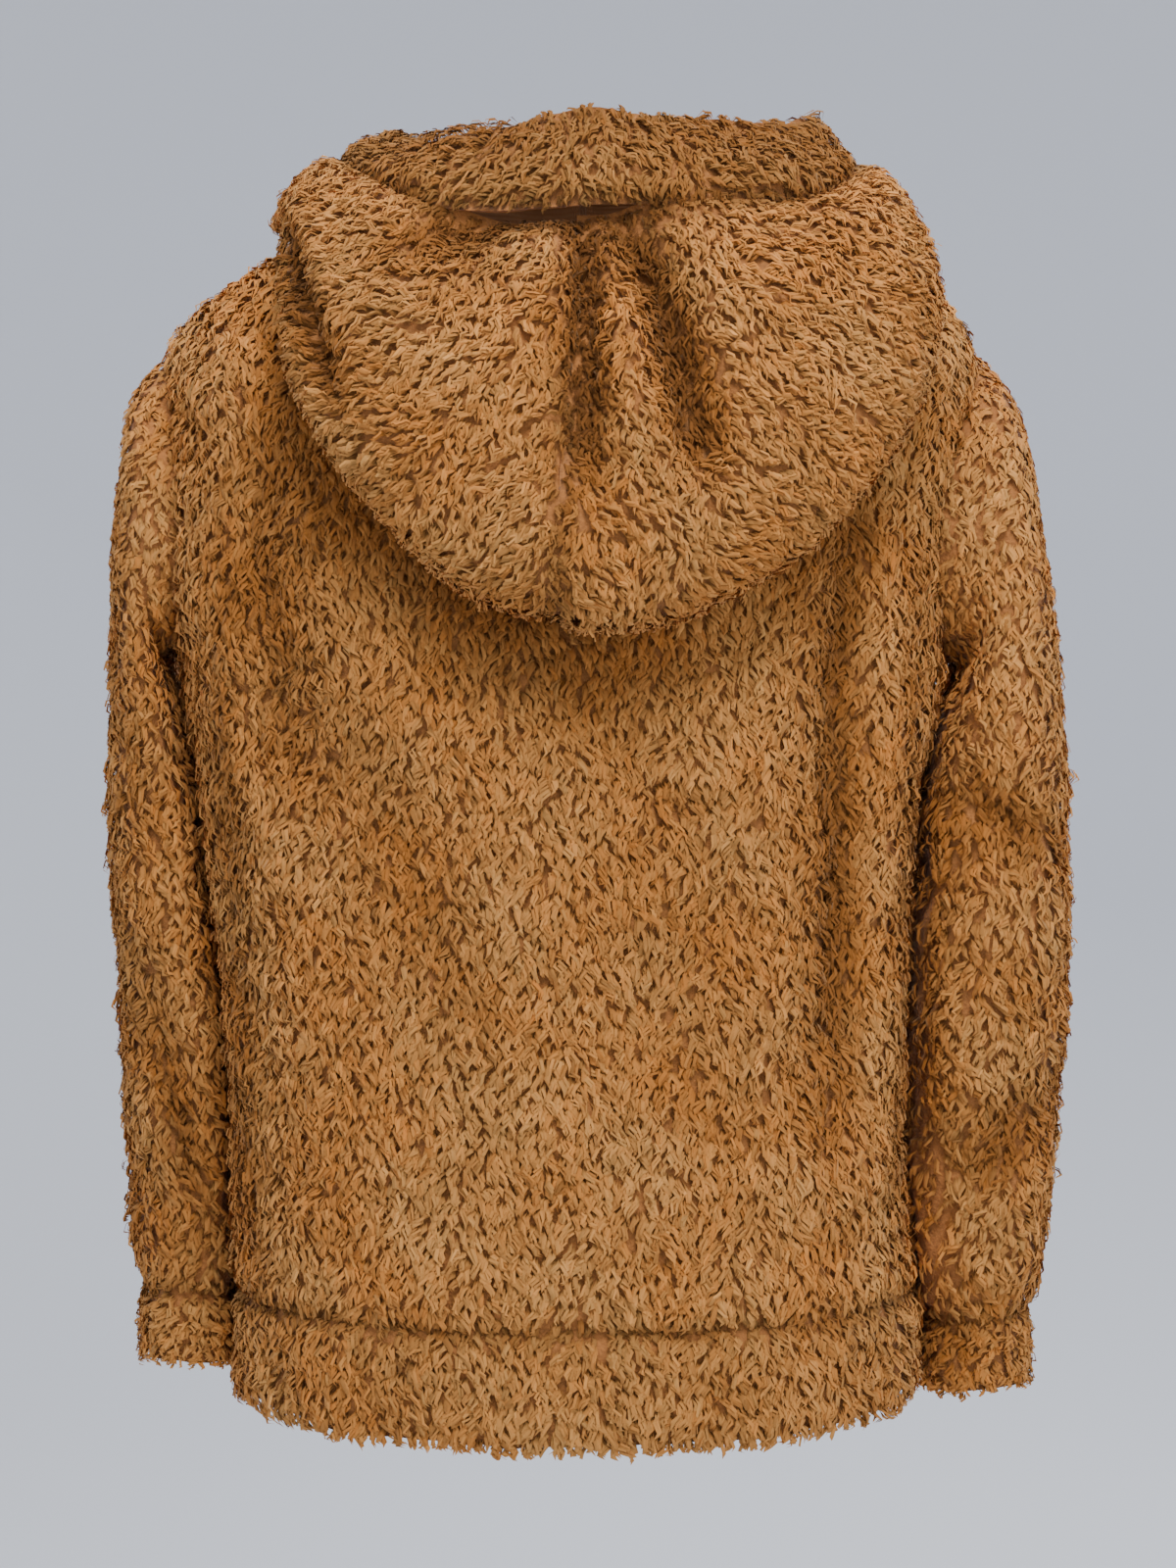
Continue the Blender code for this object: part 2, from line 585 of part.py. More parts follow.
def tidy_mesh(mesh):
    """Merges the points of a piece that comes to a corner, and drops the faces that closes."""
    work = bmesh.new()
    work.from_mesh(mesh)
    bmesh.ops.remove_doubles(work, verts=work.verts, dist=0.00002)
    work.to_mesh(mesh)
    work.free()
    mesh.shade_smooth()
    mesh.set_sharp_from_angle(angle=math.radians(50))


# -------------------------------------------------------------------------------------------------- zip


def chain_frame(down):
    """Place and directions of the zip's chain, in the middle of the wall at the centre front."""
    level = read(BODY_LEVELS, down)
    edge = body(180.0, down)
    normal = body_normal(180.0, down) * np.array([0, 1, 1])
    normal = unit(normal)
    place = edge - normal * WALL / 2
    place[..., 0] = level["x"]
    across = np.array([1.0, 0.0, 0.0])
    upward = np.cross(across, normal)
    return place, across, normal, upward


def zip_strip(name, low, high, thick, start, end):
    """A flat strip along the chain, between two places across it."""
    down = np.concatenate([panel_rows(), [0.730, HEM_EDGE]])
    down = np.concatenate([[start], down[(down > start + 0.004) & (down < end - 0.004)], [end]])
    place, across, normal, _ = chain_frame(down)
    corners = ((low, -thick / 2), (high, -thick / 2), (high, thick / 2), (low, thick / 2))
    rings = np.stack([place + across * x + normal * y for x, y in corners], axis=1)
    count = len(down)
    index = np.arange(count * 4).reshape(count, 4)
    faces = [tuple(index[0]), tuple(index[-1, ::-1])]
    for k in range(4):
        n = (k + 1) % 4
        faces += [(index[i, n], index[i, k], index[i + 1, k], index[i + 1, n]) for i in range(count - 1)]
    mesh = bpy.data.meshes.new(name)
    mesh.from_pydata(rings.reshape(-1, 3).tolist(), [], [tuple(int(i) for i in face) for face in faces])
    return mesh


def chain_matrix(down, lift=0.0, along=0.0):
    """A matrix that carries the zip's frame to a place on the chain."""
    place, across, normal, upward = chain_frame(down)
    matrix = Matrix((Vector(across), Vector(normal), Vector(upward))).transposed().to_4x4()
    matrix.translation = Vector(place + normal * lift + upward * along)
    return matrix


def add_box(work, middle, size):
    bmesh.ops.create_cube(work, size=1, matrix=Matrix.Translation(middle) @ Matrix.Diagonal((*size, 1)))


def box_object(name, middle, size):
    work = bmesh.new()
    add_box(work, middle, size)
    mesh = bpy.data.meshes.new(name)
    work.to_mesh(mesh)
    work.free()
    return bpy.data.objects.new(name, mesh)


PLATE_Y = (0.0018, 0.0031)  # inner and outer face of a slider's plate
BRIDGE_Y = (0.0049, 0.0060)
PULL_AXIS = (0.0002, 0.0040)  # up the chain and out of it


def union(target, name, middle, size, collection):
    """Adds a box to an object with an exact union."""
    tool = box_object(name, middle, size)
    tool.hide_render = True
    tool.display_type = "WIRE"
    collection.objects.link(tool)
    join = target.modifiers.new(name, "BOOLEAN")
    join.operation = "UNION"
    join.object = tool
    tool.parent = target


def zip_slider(collection, cutters):
    """The slider: two plates with lips round the chain, a post at the top, and the bridge of the pull."""
    y_low, y_high = PLATE_Y
    middle, thick = (y_low + y_high) / 2, y_high - y_low
    slider = box_object("zip_slider", (0, middle, 0), (0.0096, thick, 0.0130))
    collection.objects.link(slider)
    union(slider, "slider_back", (0, -middle, 0), (0.0096, thick, 0.0130), cutters)
    union(slider, "slider_post", (0, 0, 0.0050), (0.0024, 0.0050, 0.0026), cutters)
    for side in (-1, 1):
        for face in (-1, 1):
            name = f"slider_lip_{'left' if side < 0 else 'right'}_{'back' if face < 0 else 'front'}"
            union(slider, name, (side * 0.00445, face * 0.0016, 0), (0.0007, 0.0009, 0.0130), cutters)
    y_bridge = (PLATE_Y[1] + BRIDGE_Y[1]) / 2 - 0.0001
    tall = BRIDGE_Y[1] - PLATE_Y[1] + 0.0002
    bridge_middle = (0, (BRIDGE_Y[0] + BRIDGE_Y[1]) / 2, 0.0002)
    union(slider, "bridge_top", bridge_middle, (0.0022, 0.0011, 0.0066), cutters)
    union(slider, "bridge_upper", (0, y_bridge, 0.0031), (0.00218, tall, 0.0010), cutters)
    union(slider, "bridge_lower", (0, y_bridge, -0.0027), (0.00218, tall, 0.0010), cutters)
    return slider


def zip_pull(collection, cutters):
    """The pull tab, hanging from its bar under the slider's bridge. Its origin is on the bar's axis."""
    work = bmesh.new()
    turn = Matrix.Rotation(math.radians(90), 4, "Y")
    pin = {"radius1": 0.00065, "radius2": 0.00065, "depth": 0.0064}
    bmesh.ops.create_cone(work, cap_ends=True, segments=12, matrix=turn, **pin)
    mesh = bpy.data.meshes.new("zip_pull")
    work.to_mesh(mesh)
    work.free()
    pull = bpy.data.objects.new("zip_pull", mesh)
    collection.objects.link(pull)
    for side in (-1, 1):
        name = f"pull_arm_{'left' if side < 0 else 'right'}"
        union(pull, name, (side * 0.0026, 0, -0.0030), (0.00118, 0.00128, 0.0062), cutters)
    union(pull, "pull_plate", (0, 0, -0.0150), (0.0076, 0.0012, 0.0190), cutters)
    return pull


# ------------------------------------------------------------------------------------------------ build


def material(name, colour, roughness, metallic=0.0):
    made = bpy.data.materials.new(name)
    made.use_nodes = True
    shader = made.node_tree.nodes["Principled BSDF"]
    shader.inputs["Base Color"].default_value = (*colour, 1)
    shader.inputs["Roughness"].default_value = roughness
    shader.inputs["Metallic"].default_value = metallic
    made.diffuse_color = (*colour, 1)
    return made


def hood_thickness(angle):
    """The hood's cloth is pressed where it turns tightly, beside and in front of the neck."""
    return np.interp(np.abs(angle), (60, 85, 97, 150), (1.0, 0.60, 0.42, 0.5))


def sleeve(side):
    """A sleeve and its cuff."""
    word = "left" if side < 0 else "right"
    sections = (0.0, *SLEEVE_ROWS, CUFF_SEAM)
    pressed = np.interp(sections, (0, 3, 5), (0.32, 0.38, 1.0))[:, None]
    return [
        Cloth(f"sleeve_{word}", sleeve_rings(side, sections), -side, True, SLEEVE_FOLDS, pressed),
        Cloth(f"cuff_{word}", sleeve_rings(side, CUFF_ROWS), -side, True),
    ]


def cloth_pieces():
    angle = hood_angles()
    left, right = (hood_thickness(angle[angle * side >= -1e-9]) for side in (-1, 1))
    return [
        Cloth("back", back_panel(), folds=FOLDS),
        Cloth("front_left", front_panel(-1), -1, folds=FOLDS),
        Cloth("front_right", front_panel(1), folds=FOLDS),
        Cloth("hem_band", hem_band()),
        *sleeve(-1),
        *sleeve(1),
        Cloth("hood_left", hood_half(-1), -1, folds=HOOD_FOLDS, thickness=left),
        Cloth("hood_right", hood_half(1), -1, folds=HOOD_FOLDS, thickness=right),
        Cloth("hood_band", hood_band(), -1, thickness=hood_thickness(angle)),
    ]


def main():
    for thing in list(bpy.data.objects):
        bpy.data.objects.remove(thing)
    parts = bpy.data.collections.new(NAME)
    cutters = bpy.data.collections.new("cutters")
    bpy.context.scene.collection.children.link(parts)
    bpy.context.scene.collection.children.link(cutters)

    sherpa = material("sherpa", (0.34, 0.155, 0.045), 0.95)
    tape_cloth = material("zip_tape", (0.20, 0.09, 0.03), 0.85)
    metal = material("zip_metal", (0.55, 0.47, 0.36), 0.35, 1.0)

    cloths = cloth_pieces()
    walls, seams = share_normals(cloths)
    for cloth in cloths:
        mesh = wall_mesh(cloth, walls[cloth.name], seams[cloth.name])
        tidy_mesh(mesh)
        mesh.materials.append(sherpa)
        parts.objects.link(bpy.data.objects.new(cloth.name, mesh))

    for side, word in ((-1, "left"), (1, "right")):
        edges = sorted((side * TAPE_INNER, side * TAPE_OUTER))
        tape = zip_strip(f"zip_tape_{word}", *edges, TAPE_THICK, 0.001, HEM_EDGE - 0.003)
        tape.materials.append(tape_cloth)
        parts.objects.link(bpy.data.objects.new(tape.name, tape))
        edges = sorted((side * CHAIN_GAP, side * CHAIN_HALF))
        chain = zip_strip(f"zip_chain_{word}", *edges, CHAIN_THICK, SLIDER_DOWN - 0.001, HEM_EDGE - 0.014)
        chain.materials.append(metal)
        parts.objects.link(bpy.data.objects.new(chain.name, chain))
        stop = box_object(f"zip_stop_{word}", (side * 0.0018, 0, 0), (0.0025, 0.0024, 0.0022))
        stop.matrix_world = chain_matrix(SLIDER_DOWN - 0.011)
        stop.data.materials.append(metal)
        parts.objects.link(stop)
    end = box_object("zip_box", (0, 0, 0), (0.0062, 0.0032, 0.0090))
    end.matrix_world = chain_matrix(HEM_EDGE - 0.0085)
    end.data.materials.append(metal)
    parts.objects.link(end)
    slider = zip_slider(parts, cutters)
    slider.matrix_world = chain_matrix(SLIDER_DOWN)
    slider.data.materials.append(metal)
    pull = zip_pull(parts, cutters)
    pull.matrix_world = chain_matrix(SLIDER_DOWN, lift=PULL_AXIS[1], along=PULL_AXIS[0])
    pull.data.materials.append(metal)


main()
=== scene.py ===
"""The looks of a sherpa zip-up hoodie, hollow and worn, with its hood down on the back.

Metres. +Z is up, +Y is the way the wearer faces and +X is the wearer's right. The cloth's surface is worked
out from the same named sizes as the solids: a level of the body is a superellipse, a sleeve is a row of
rings, and the hood is a path that is carried round the neckline. On that surface lie a thin knit backing and
a pile of curly locks.
"""

import math

import bmesh
import bpy
import numpy as np
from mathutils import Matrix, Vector

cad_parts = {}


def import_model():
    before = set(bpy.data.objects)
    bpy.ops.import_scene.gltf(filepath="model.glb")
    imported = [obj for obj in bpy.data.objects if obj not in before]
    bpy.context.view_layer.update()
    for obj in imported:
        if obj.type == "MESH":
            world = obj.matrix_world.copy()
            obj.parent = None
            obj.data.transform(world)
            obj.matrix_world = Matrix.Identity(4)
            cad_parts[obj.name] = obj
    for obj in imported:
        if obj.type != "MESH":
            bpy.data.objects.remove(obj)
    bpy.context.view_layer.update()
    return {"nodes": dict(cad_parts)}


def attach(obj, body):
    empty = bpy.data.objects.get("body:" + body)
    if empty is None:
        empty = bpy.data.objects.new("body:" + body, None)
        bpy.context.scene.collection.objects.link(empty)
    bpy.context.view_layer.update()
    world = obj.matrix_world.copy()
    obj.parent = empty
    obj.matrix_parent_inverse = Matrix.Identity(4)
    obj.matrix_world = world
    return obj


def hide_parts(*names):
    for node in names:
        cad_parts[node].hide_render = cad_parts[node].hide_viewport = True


# Cloth.
WALL = 0.008  # backing and pile together
SHORT_COLUMN = 0.045  # a grid's column shorter than this takes on its own mean direction
CLEARANCE = 0.0040  # between pieces that lie on each other

# Body: distances down the cloth where one part of it ends.
SHOULDER_TIP = 0.178
ARMPIT = 0.360
HEM_SEAM = 0.695
HEM_EDGE = 0.760
ARMHOLE_INSET = {"back": 20.0, "front": 22.0}  # degrees that the armhole takes out of each panel
ARMHOLE_ROUNDNESS = 0.6

BACK_COLUMNS = 24
FRONT_COLUMNS = 12
YOKE_ROWS = 8
ARMHOLE_ROWS = 10
SIDE_ROWS = 12

BODY_LEVELS = (
    ("down", "z_back", "z_side", "z_front", "half", "back", "front", "x", "squareness"),
    (-0.060, 0.055, 0.051, -0.018, 0.064, 0.050, 0.070, 0.000, 2.00),
    (-0.030, 0.026, 0.022, -0.047, 0.068, 0.053, 0.074, 0.000, 2.00),
    (0.000, 0.000, -0.005, -0.075, 0.078, 0.060, 0.082, 0.000, 2.00),
    (0.040, -0.028, -0.014, -0.111, 0.120, 0.088, 0.098, -0.001, 2.05),
    (0.085, -0.066, -0.030, -0.154, 0.165, 0.108, 0.110, -0.002, 2.15),
    (0.130, -0.111, -0.052, -0.198, 0.205, 0.119, 0.118, -0.004, 2.25),
    (0.178, -0.158, -0.085, -0.243, 0.232, 0.124, 0.122, -0.007, 2.30),
    (0.235, -0.205, -0.140, -0.272, 0.234, 0.127, 0.124, -0.012, 2.30),
    (0.300, -0.252, -0.205, -0.300, 0.228, 0.129, 0.126, -0.016, 2.30),
    (0.360, -0.300, -0.270, -0.330, 0.218, 0.130, 0.126, -0.016, 2.30),
    (0.450, -0.375, -0.362, -0.390, 0.204, 0.130, 0.126, -0.016, 2.30),
    (0.560, -0.490, -0.487, -0.492, 0.196, 0.131, 0.126, -0.012, 2.30),
    (0.640, -0.580, -0.580, -0.580, 0.194, 0.133, 0.127, -0.009, 2.30),
    (0.695, -0.635, -0.629, -0.632, 0.197, 0.134, 0.128, -0.006, 2.30),
    (0.760, -0.700, -0.688, -0.692, 0.198, 0.134, 0.128, -0.005, 2.30),
)

# Sleeves: the point nearest the body, the point furthest from it, the middle and half of the depth in Y.
CUFF_SEAM = 10.0  # its section number
SLEEVE_ROWS = (1.0, 1.5, 2.0, 2.5, 3.0, 3.5, 4.0, 4.5, 5.0, 5.5, 6.0, 6.5, 7.0, 7.5, 8.0, 8.5, 9.0, 9.6)
CUFF_ROWS = (10.0, 10.4, 11.3, 12.0)
SLEEVE_SQUARENESS = 2.5
SLEEVE_CLEARANCE = 0.0035

SLEEVE_RIGHT = (
    ("section", "inner_x", "inner_z", "outer_x", "outer_z", "y", "half_y"),
    (1.0, 0.216, -0.266, 0.243, -0.106, 0.005, 0.060),
    (2.0, 0.224, -0.272, 0.2560, -0.140, 0.008, 0.068),
    (3.0, 0.222, -0.284, 0.2645, -0.195, 0.012, 0.074),
    (4.0, 0.212, -0.305, 0.2740, -0.2525, 0.016, 0.077),
    (5.0, 0.200, -0.350, 0.281, -0.335, 0.020, 0.078),
    (6.0, 0.190, -0.420, 0.283, -0.420, 0.022, 0.076),
    (7.0, 0.184, -0.500, 0.280, -0.500, 0.025, 0.071),
    (8.0, 0.183, -0.570, 0.2740, -0.570, 0.028, 0.066),
    (9.0, 0.187, -0.615, 0.2700, -0.610, 0.030, 0.062),
    (10.0, 0.194, -0.650, 0.2645, -0.645, 0.030, 0.055),
    (11.0, 0.196, -0.672, 0.2630, -0.667, 0.030, 0.054),
    (12.0, 0.198, -0.694, 0.2600, -0.689, 0.030, 0.052),
)
SLEEVE_LEFT = (
    ("section", "inner_x", "inner_z", "outer_x", "outer_z", "y", "half_y"),
    (1.0, -0.243, -0.260, -0.259, -0.108, 0.004, 0.056),
    (2.0, -0.248, -0.267, -0.267, -0.138, 0.016, 0.064),
    (3.0, -0.243, -0.280, -0.2745, -0.185, 0.026, 0.071),
    (4.0, -0.232, -0.310, -0.2775, -0.245, 0.034, 0.074),
    (5.0, -0.219, -0.355, -0.280, -0.335, 0.040, 0.075),
    (6.0, -0.208, -0.420, -0.2790, -0.420, 0.045, 0.074),
    (7.0, -0.198, -0.500, -0.275, -0.500, 0.048, 0.070),
    (8.0, -0.195, -0.570, -0.271, -0.570, 0.048, 0.066),
    (9.0, -0.196, -0.602, -0.2695, -0.600, 0.048, 0.062),
    (10.0, -0.199, -0.638, -0.2660, -0.634, 0.047, 0.056),
    (11.0, -0.200, -0.658, -0.2655, -0.654, 0.047, 0.055),
    (12.0, -0.202, -0.679, -0.2640, -0.676, 0.047, 0.053),
)

# Hood, by the angle of the neckline. Out is along the body from the neckline and up is off the body.
HOOD_BAND_COLUMNS = 4  # columns of the front's neckline that the band takes
HOOD_STEADY = 0.035  # out of the neckline, where the body's own normal takes over
HOOD_BELLY = 0.008  # how far the hood's back bulges
HOOD_ROWS = (
    0.0, 0.5, 1.0, 1.6, 2.3, 3.0, 4.0, 5.0, 5.3, 5.6, 6.0, 6.3, 6.6, 7.0,
    7.5, 8.0, 8.5, 9.0, 9.6, 10.3, 11.1, 12.0,
)
# The front parts of the hood, which are alike on both sides, in the columns of the table below.
HOOD_FRONTS = (
    (97.0, 0.022, 0.080, 0.045, 0.0325, 0.045, 4.0, 0.0035, 0.0525, 0.34),
    (104.0, 0.020, 0.080, 0.044, 0.0225, 0.045, 8.0, -0.0115, 0.0545, 0.09),
    (111.0, 0.016, 0.060, 0.045, 0.004, 0.040, 13.0, -0.020, 0.048, 0.00),
    (118.0, 0.012, 0.055, 0.050, -0.010, 0.032, 17.5, -0.029, 0.039, 0.00),
    (125.0, 0.008, 0.045, 0.050, -0.020, 0.022, 23.0, -0.034, 0.026, 0.00),
    (132.0, 0.006, 0.045, 0.050, -0.021, 0.012, 26.0, -0.028, 0.014, 0.00),
    (140.0, 0.003, 0.040, 0.050, -0.012, 0.004, 28.0, -0.014, 0.005, 0.00),
    (147.0, 0.000, 0.040, 0.050, 0.000, 0.000, 28.0, 0.000, 0.000, 0.00),
)
HOOD_SECTIONS = (
    ("angle", "roll", "reach", "thick", "seam_out", "seam_up", "rim_lead", "rim_out", "rim_up", "pouch"),
    *((-angle, *sizes) for angle, *sizes in reversed(HOOD_FRONTS)),
    (-90.0, 0.022, 0.080, 0.034, 0.042, 0.044, 0.0, 0.010, 0.048, 1.00),
    (-70.0, 0.022, 0.092, 0.034, 0.052, 0.045, 0.0, 0.022, 0.048, 1.00),
    (-50.0, 0.022, 0.122, 0.036, 0.062, 0.048, 0.0, 0.030, 0.046, 1.00),
    (-25.0, 0.022, 0.214, 0.046, 0.068, 0.048, 0.0, 0.024, 0.054, 1.00),
    (0.0, 0.022, 0.304, 0.052, 0.060, 0.048, 0.0, 0.015, 0.062, 1.00),
    (25.0, 0.022, 0.276, 0.046, 0.066, 0.050, 0.0, 0.022, 0.060, 1.00),
    (50.0, 0.022, 0.180, 0.036, 0.078, 0.050, 0.0, 0.040, 0.062, 1.00),
    (70.0, 0.022, 0.112, 0.034, 0.068, 0.048, 0.0, 0.040, 0.062, 1.00),
    (90.0, 0.022, 0.084, 0.034, 0.048, 0.045, 0.0, 0.016, 0.052, 1.00),
    *HOOD_FRONTS,
)

# Zip, in its own frame: X across, Y out of the cloth and Z up the chain.
ZIP_HALF_OPENING = 0.009
CHAIN_THICK = 0.0026
SLIDER_DOWN = 0.024


SIDE_WORD = {-1: "left", 1: "right"}


def columns(table):
    """A table's columns by name, as arrays."""
    return {name: np.array(values) for name, values in zip(table[0], zip(*table[1:]))}


def hermite(values, slopes, row, t, step=1):
    """The cubic Hermite curve between a row of values and the next one, at a share of the step."""
    return (
        (2 * t**3 - 3 * t**2 + 1) * values[row]
        + (t**3 - 2 * t**2 + t) * step * slopes[row]
        + (3 * t**2 - 2 * t**3) * values[row + 1]
        + (t**3 - t**2) * step * slopes[row + 1]
    )


def read(table, key):
    """Each column of the table at the key, on a smooth curve through its rows.

    The curve's slope at a row is about that of the chord between its neighbours.
    """
    data = columns(table)
    knots = data.pop(table[0][0])
    key = np.clip(np.asarray(key, float), knots[0], knots[-1])
    row = np.clip(np.searchsorted(knots, key, side="right") - 1, 0, len(knots) - 2)
    step = knots[row + 1] - knots[row]
    t = (key - knots[row]) / step
    return {name: hermite(values, np.gradient(values, knots), row, t, step) for name, values in data.items()}


def signed_power(value, power):
    """The value's size to a power, with its sign kept."""
    return np.sign(value) * np.abs(value) ** power


def unit(vectors):
    """Each vector divided by its length."""
    length = np.linalg.norm(vectors, axis=-1, keepdims=True)
    return vectors / np.maximum(length, 1e-12)


# ------------------------------------------------------------------------------------------------ body


def body(angle, down):
    """Point of the body's outer surface: a superellipse at each level, its level dropping at the front."""
    level = read(BODY_LEVELS, down)
    turn = np.radians(angle)
    across, along = np.sin(turn), np.cos(turn)
    power = 2 / level["squareness"]
    depth = np.where(along > 0, level["back"], level["front"])
    middle_z = np.where(along > 0, level["z_back"], level["z_front"])
    x = level["x"] + level["half"] * signed_power(across, power)
    y = -depth * signed_power(along, power)
    z = across**2 * level["z_side"] + along**2 * middle_z
    return np.stack(np.broadcast_arrays(x, y, z), axis=-1)


def body_normal(angle, down):
    """Outward unit normal of the body's outer surface, from differences."""
    angle = np.asarray(angle, float)
    down = np.asarray(down, float)
    round_body = body(angle + 0.5, down) - body(angle - 0.5, down)
    down_body = body(angle, down + 0.002) - body(angle, down - 0.002)
    return unit(np.cross(down_body, round_body))


def front_edge(down):
    """Angle of a front's centre edge, which leaves half of the zip's opening."""
    level = read(BODY_LEVELS, down)
    return 180 - np.degrees(np.arcsin((ZIP_HALF_OPENING / level["half"]) ** (level["squareness"] / 2)))


def side_edge(down, panel):
    """Angle of a panel's side edge: the shoulder seam, then the armhole, then the side seam."""
    depth = (down - SHOULDER_TIP) / (ARMPIT - SHOULDER_TIP)
    bite = np.sin(np.pi * np.clip(depth, 0, 1)) ** ARMHOLE_ROUNDNESS
    sign = -1 if panel == "back" else 1
    return 90 + sign * ARMHOLE_INSET[panel] * bite


def panel_rows():
    """Distances down the cloth of a panel's rows, with one close to the hem's seam."""
    yoke = np.linspace(0, SHOULDER_TIP, YOKE_ROWS + 1)
    armhole = np.linspace(SHOULDER_TIP, ARMPIT, ARMHOLE_ROWS + 1)[1:]
    side = np.linspace(ARMPIT, HEM_SEAM - 0.008, SIDE_ROWS + 1)[1:]
    return np.concatenate([yoke, armhole, side, [HEM_SEAM]])


def back_panel():
    """The back's outer grid: rows down the cloth, columns from the left side edge to the right one."""
    down = panel_rows()[:, None]
    share = np.linspace(-1, 1, BACK_COLUMNS + 1)[None, :]
    return body(share * side_edge(down, "back"), down)


def front_panel(side):
    """A front's outer grid: rows down the cloth, columns from the side edge to the centre edge."""
    down = panel_rows()[:, None]
    share = np.linspace(0, 1, FRONT_COLUMNS + 1)[None, :]
    angle = side_edge(down, "front") * (1 - share) + front_edge(down) * share
    return body(side * angle, down)


def hem_band():
    """The hem band's outer grid, with the same columns as the three panels above it."""
    down = np.array([HEM_SEAM, HEM_SEAM + 0.008, 0.730, HEM_EDGE - 0.006, HEM_EDGE])[:, None]
    tuck = np.array([0.0, 0.0, 0.0, 0.0005, 0.003])[:, None, None]
    front = np.linspace(0, 1, FRONT_COLUMNS + 1)
    right = 90 * (1 - front) + front_edge(down) * front
    back = np.broadcast_to(np.linspace(-90, 90, BACK_COLUMNS + 1), (len(down), BACK_COLUMNS + 1))
    angle = np.concatenate([-right[:, :0:-1], back, right[:, 1:]], axis=1)
    return body(angle, down) - tuck * body_normal(angle, down)


# ---------------------------------------------------------------------------------------------- sleeves


def armhole_loop(side):
    """The armhole's points, from the shoulder down the back edge and up the front edge."""
    down = np.linspace(SHOULDER_TIP, ARMPIT, ARMHOLE_ROWS + 1)
    back = body(side * side_edge(down, "back"), down)
    front = body(side * side_edge(down, "front"), down)
    return np.concatenate([back, front[-2:0:-1]])


def sleeve_rings(side, sections):
    """Rings of the sleeve at the given section numbers, from the armhole's loop.

    A ring is a superellipse between its inner and its outer point. A point that would enter the body is
    moved out to the body's side, so that a ring beside the body is shaped like a D.
    """
    table = SLEEVE_RIGHT if side > 0 else SLEEVE_LEFT
    count = 2 * ARMHOLE_ROWS
    turn = 2 * np.pi * np.arange(count) / count
    power = 2 / SLEEVE_SQUARENESS
    data = columns(table)
    middle_x = (data["inner_x"] + data["outer_x"]) / 2
    middle_z = (data["inner_z"] + data["outer_z"]) / 2
    middle = np.stack([middle_x, data["y"], middle_z], 1)
    outward = np.stack([data["outer_x"], data["y"], data["outer_z"]], 1) - middle
    forward = data["half_y"][:, None] * np.array([0, 1, 0])
    rings = (
        middle[:, None]
        + outward[:, None] * signed_power(np.cos(turn), power)[None, :, None]
        - forward[:, None] * signed_power(np.sin(turn), power)[None, :, None]
    )
    rings = np.concatenate([armhole_loop(side)[None], rings])
    return keep_off_body(np.array([cubic(rings, section) for section in sections]), side)


def keep_off_body(grid, side):
    """Moves a sleeve's points beside the body out to a clearance from it."""
    down = down_at_height(grid[..., 2])
    level = read(BODY_LEVELS, down)
    depth = np.where(grid[..., 1] < 0, level["back"], level["front"])
    share = np.clip(1 - (np.abs(grid[..., 1]) / depth) ** level["squareness"], 0, 1)
    reach = level["half"] * share ** (1 / level["squareness"]) + SLEEVE_CLEARANCE
    own = side * (grid[..., 0] - level["x"])
    beside = (grid[..., 2] < -0.275) & (np.abs(grid[..., 1]) < depth)
    grid[..., 0] = np.where(beside & (own < reach), level["x"] + side * reach, grid[..., 0])
    return grid


def down_at_height(z):
    """Distance down the cloth at a height of the body's side."""
    data = columns(BODY_LEVELS)
    return np.interp(-z, -data["z_side"], data["down"])


# ------------------------------------------------------------------------------------------------- hood


def hood_angles():
    """Angles of the neckline's columns, from one front's band to the other's."""
    back = np.linspace(0, 90, BACK_COLUMNS // 2 + 1)
    front = 90 + (front_edge(0.0) - 90) * np.arange(1, FRONT_COLUMNS + 1) / FRONT_COLUMNS
    half = np.concatenate([back, front[:-HOOD_BAND_COLUMNS]])
    return np.concatenate([-half[:0:-1], half])


def hood_section(angle):
    """The section table at an angle, with the table's ends at the band's ends."""
    end = columns(HOOD_SECTIONS)["angle"][-1]
    last = hood_angles()[-1]
    return read(HOOD_SECTIONS, angle * end / last)


def on_body(angle, out, up):
    """Point of the hood. Near the neckline up keeps the direction it has a little further out."""
    return body(angle, out) + up[..., None] * body_normal(angle, np.maximum(out, HOOD_STEADY))


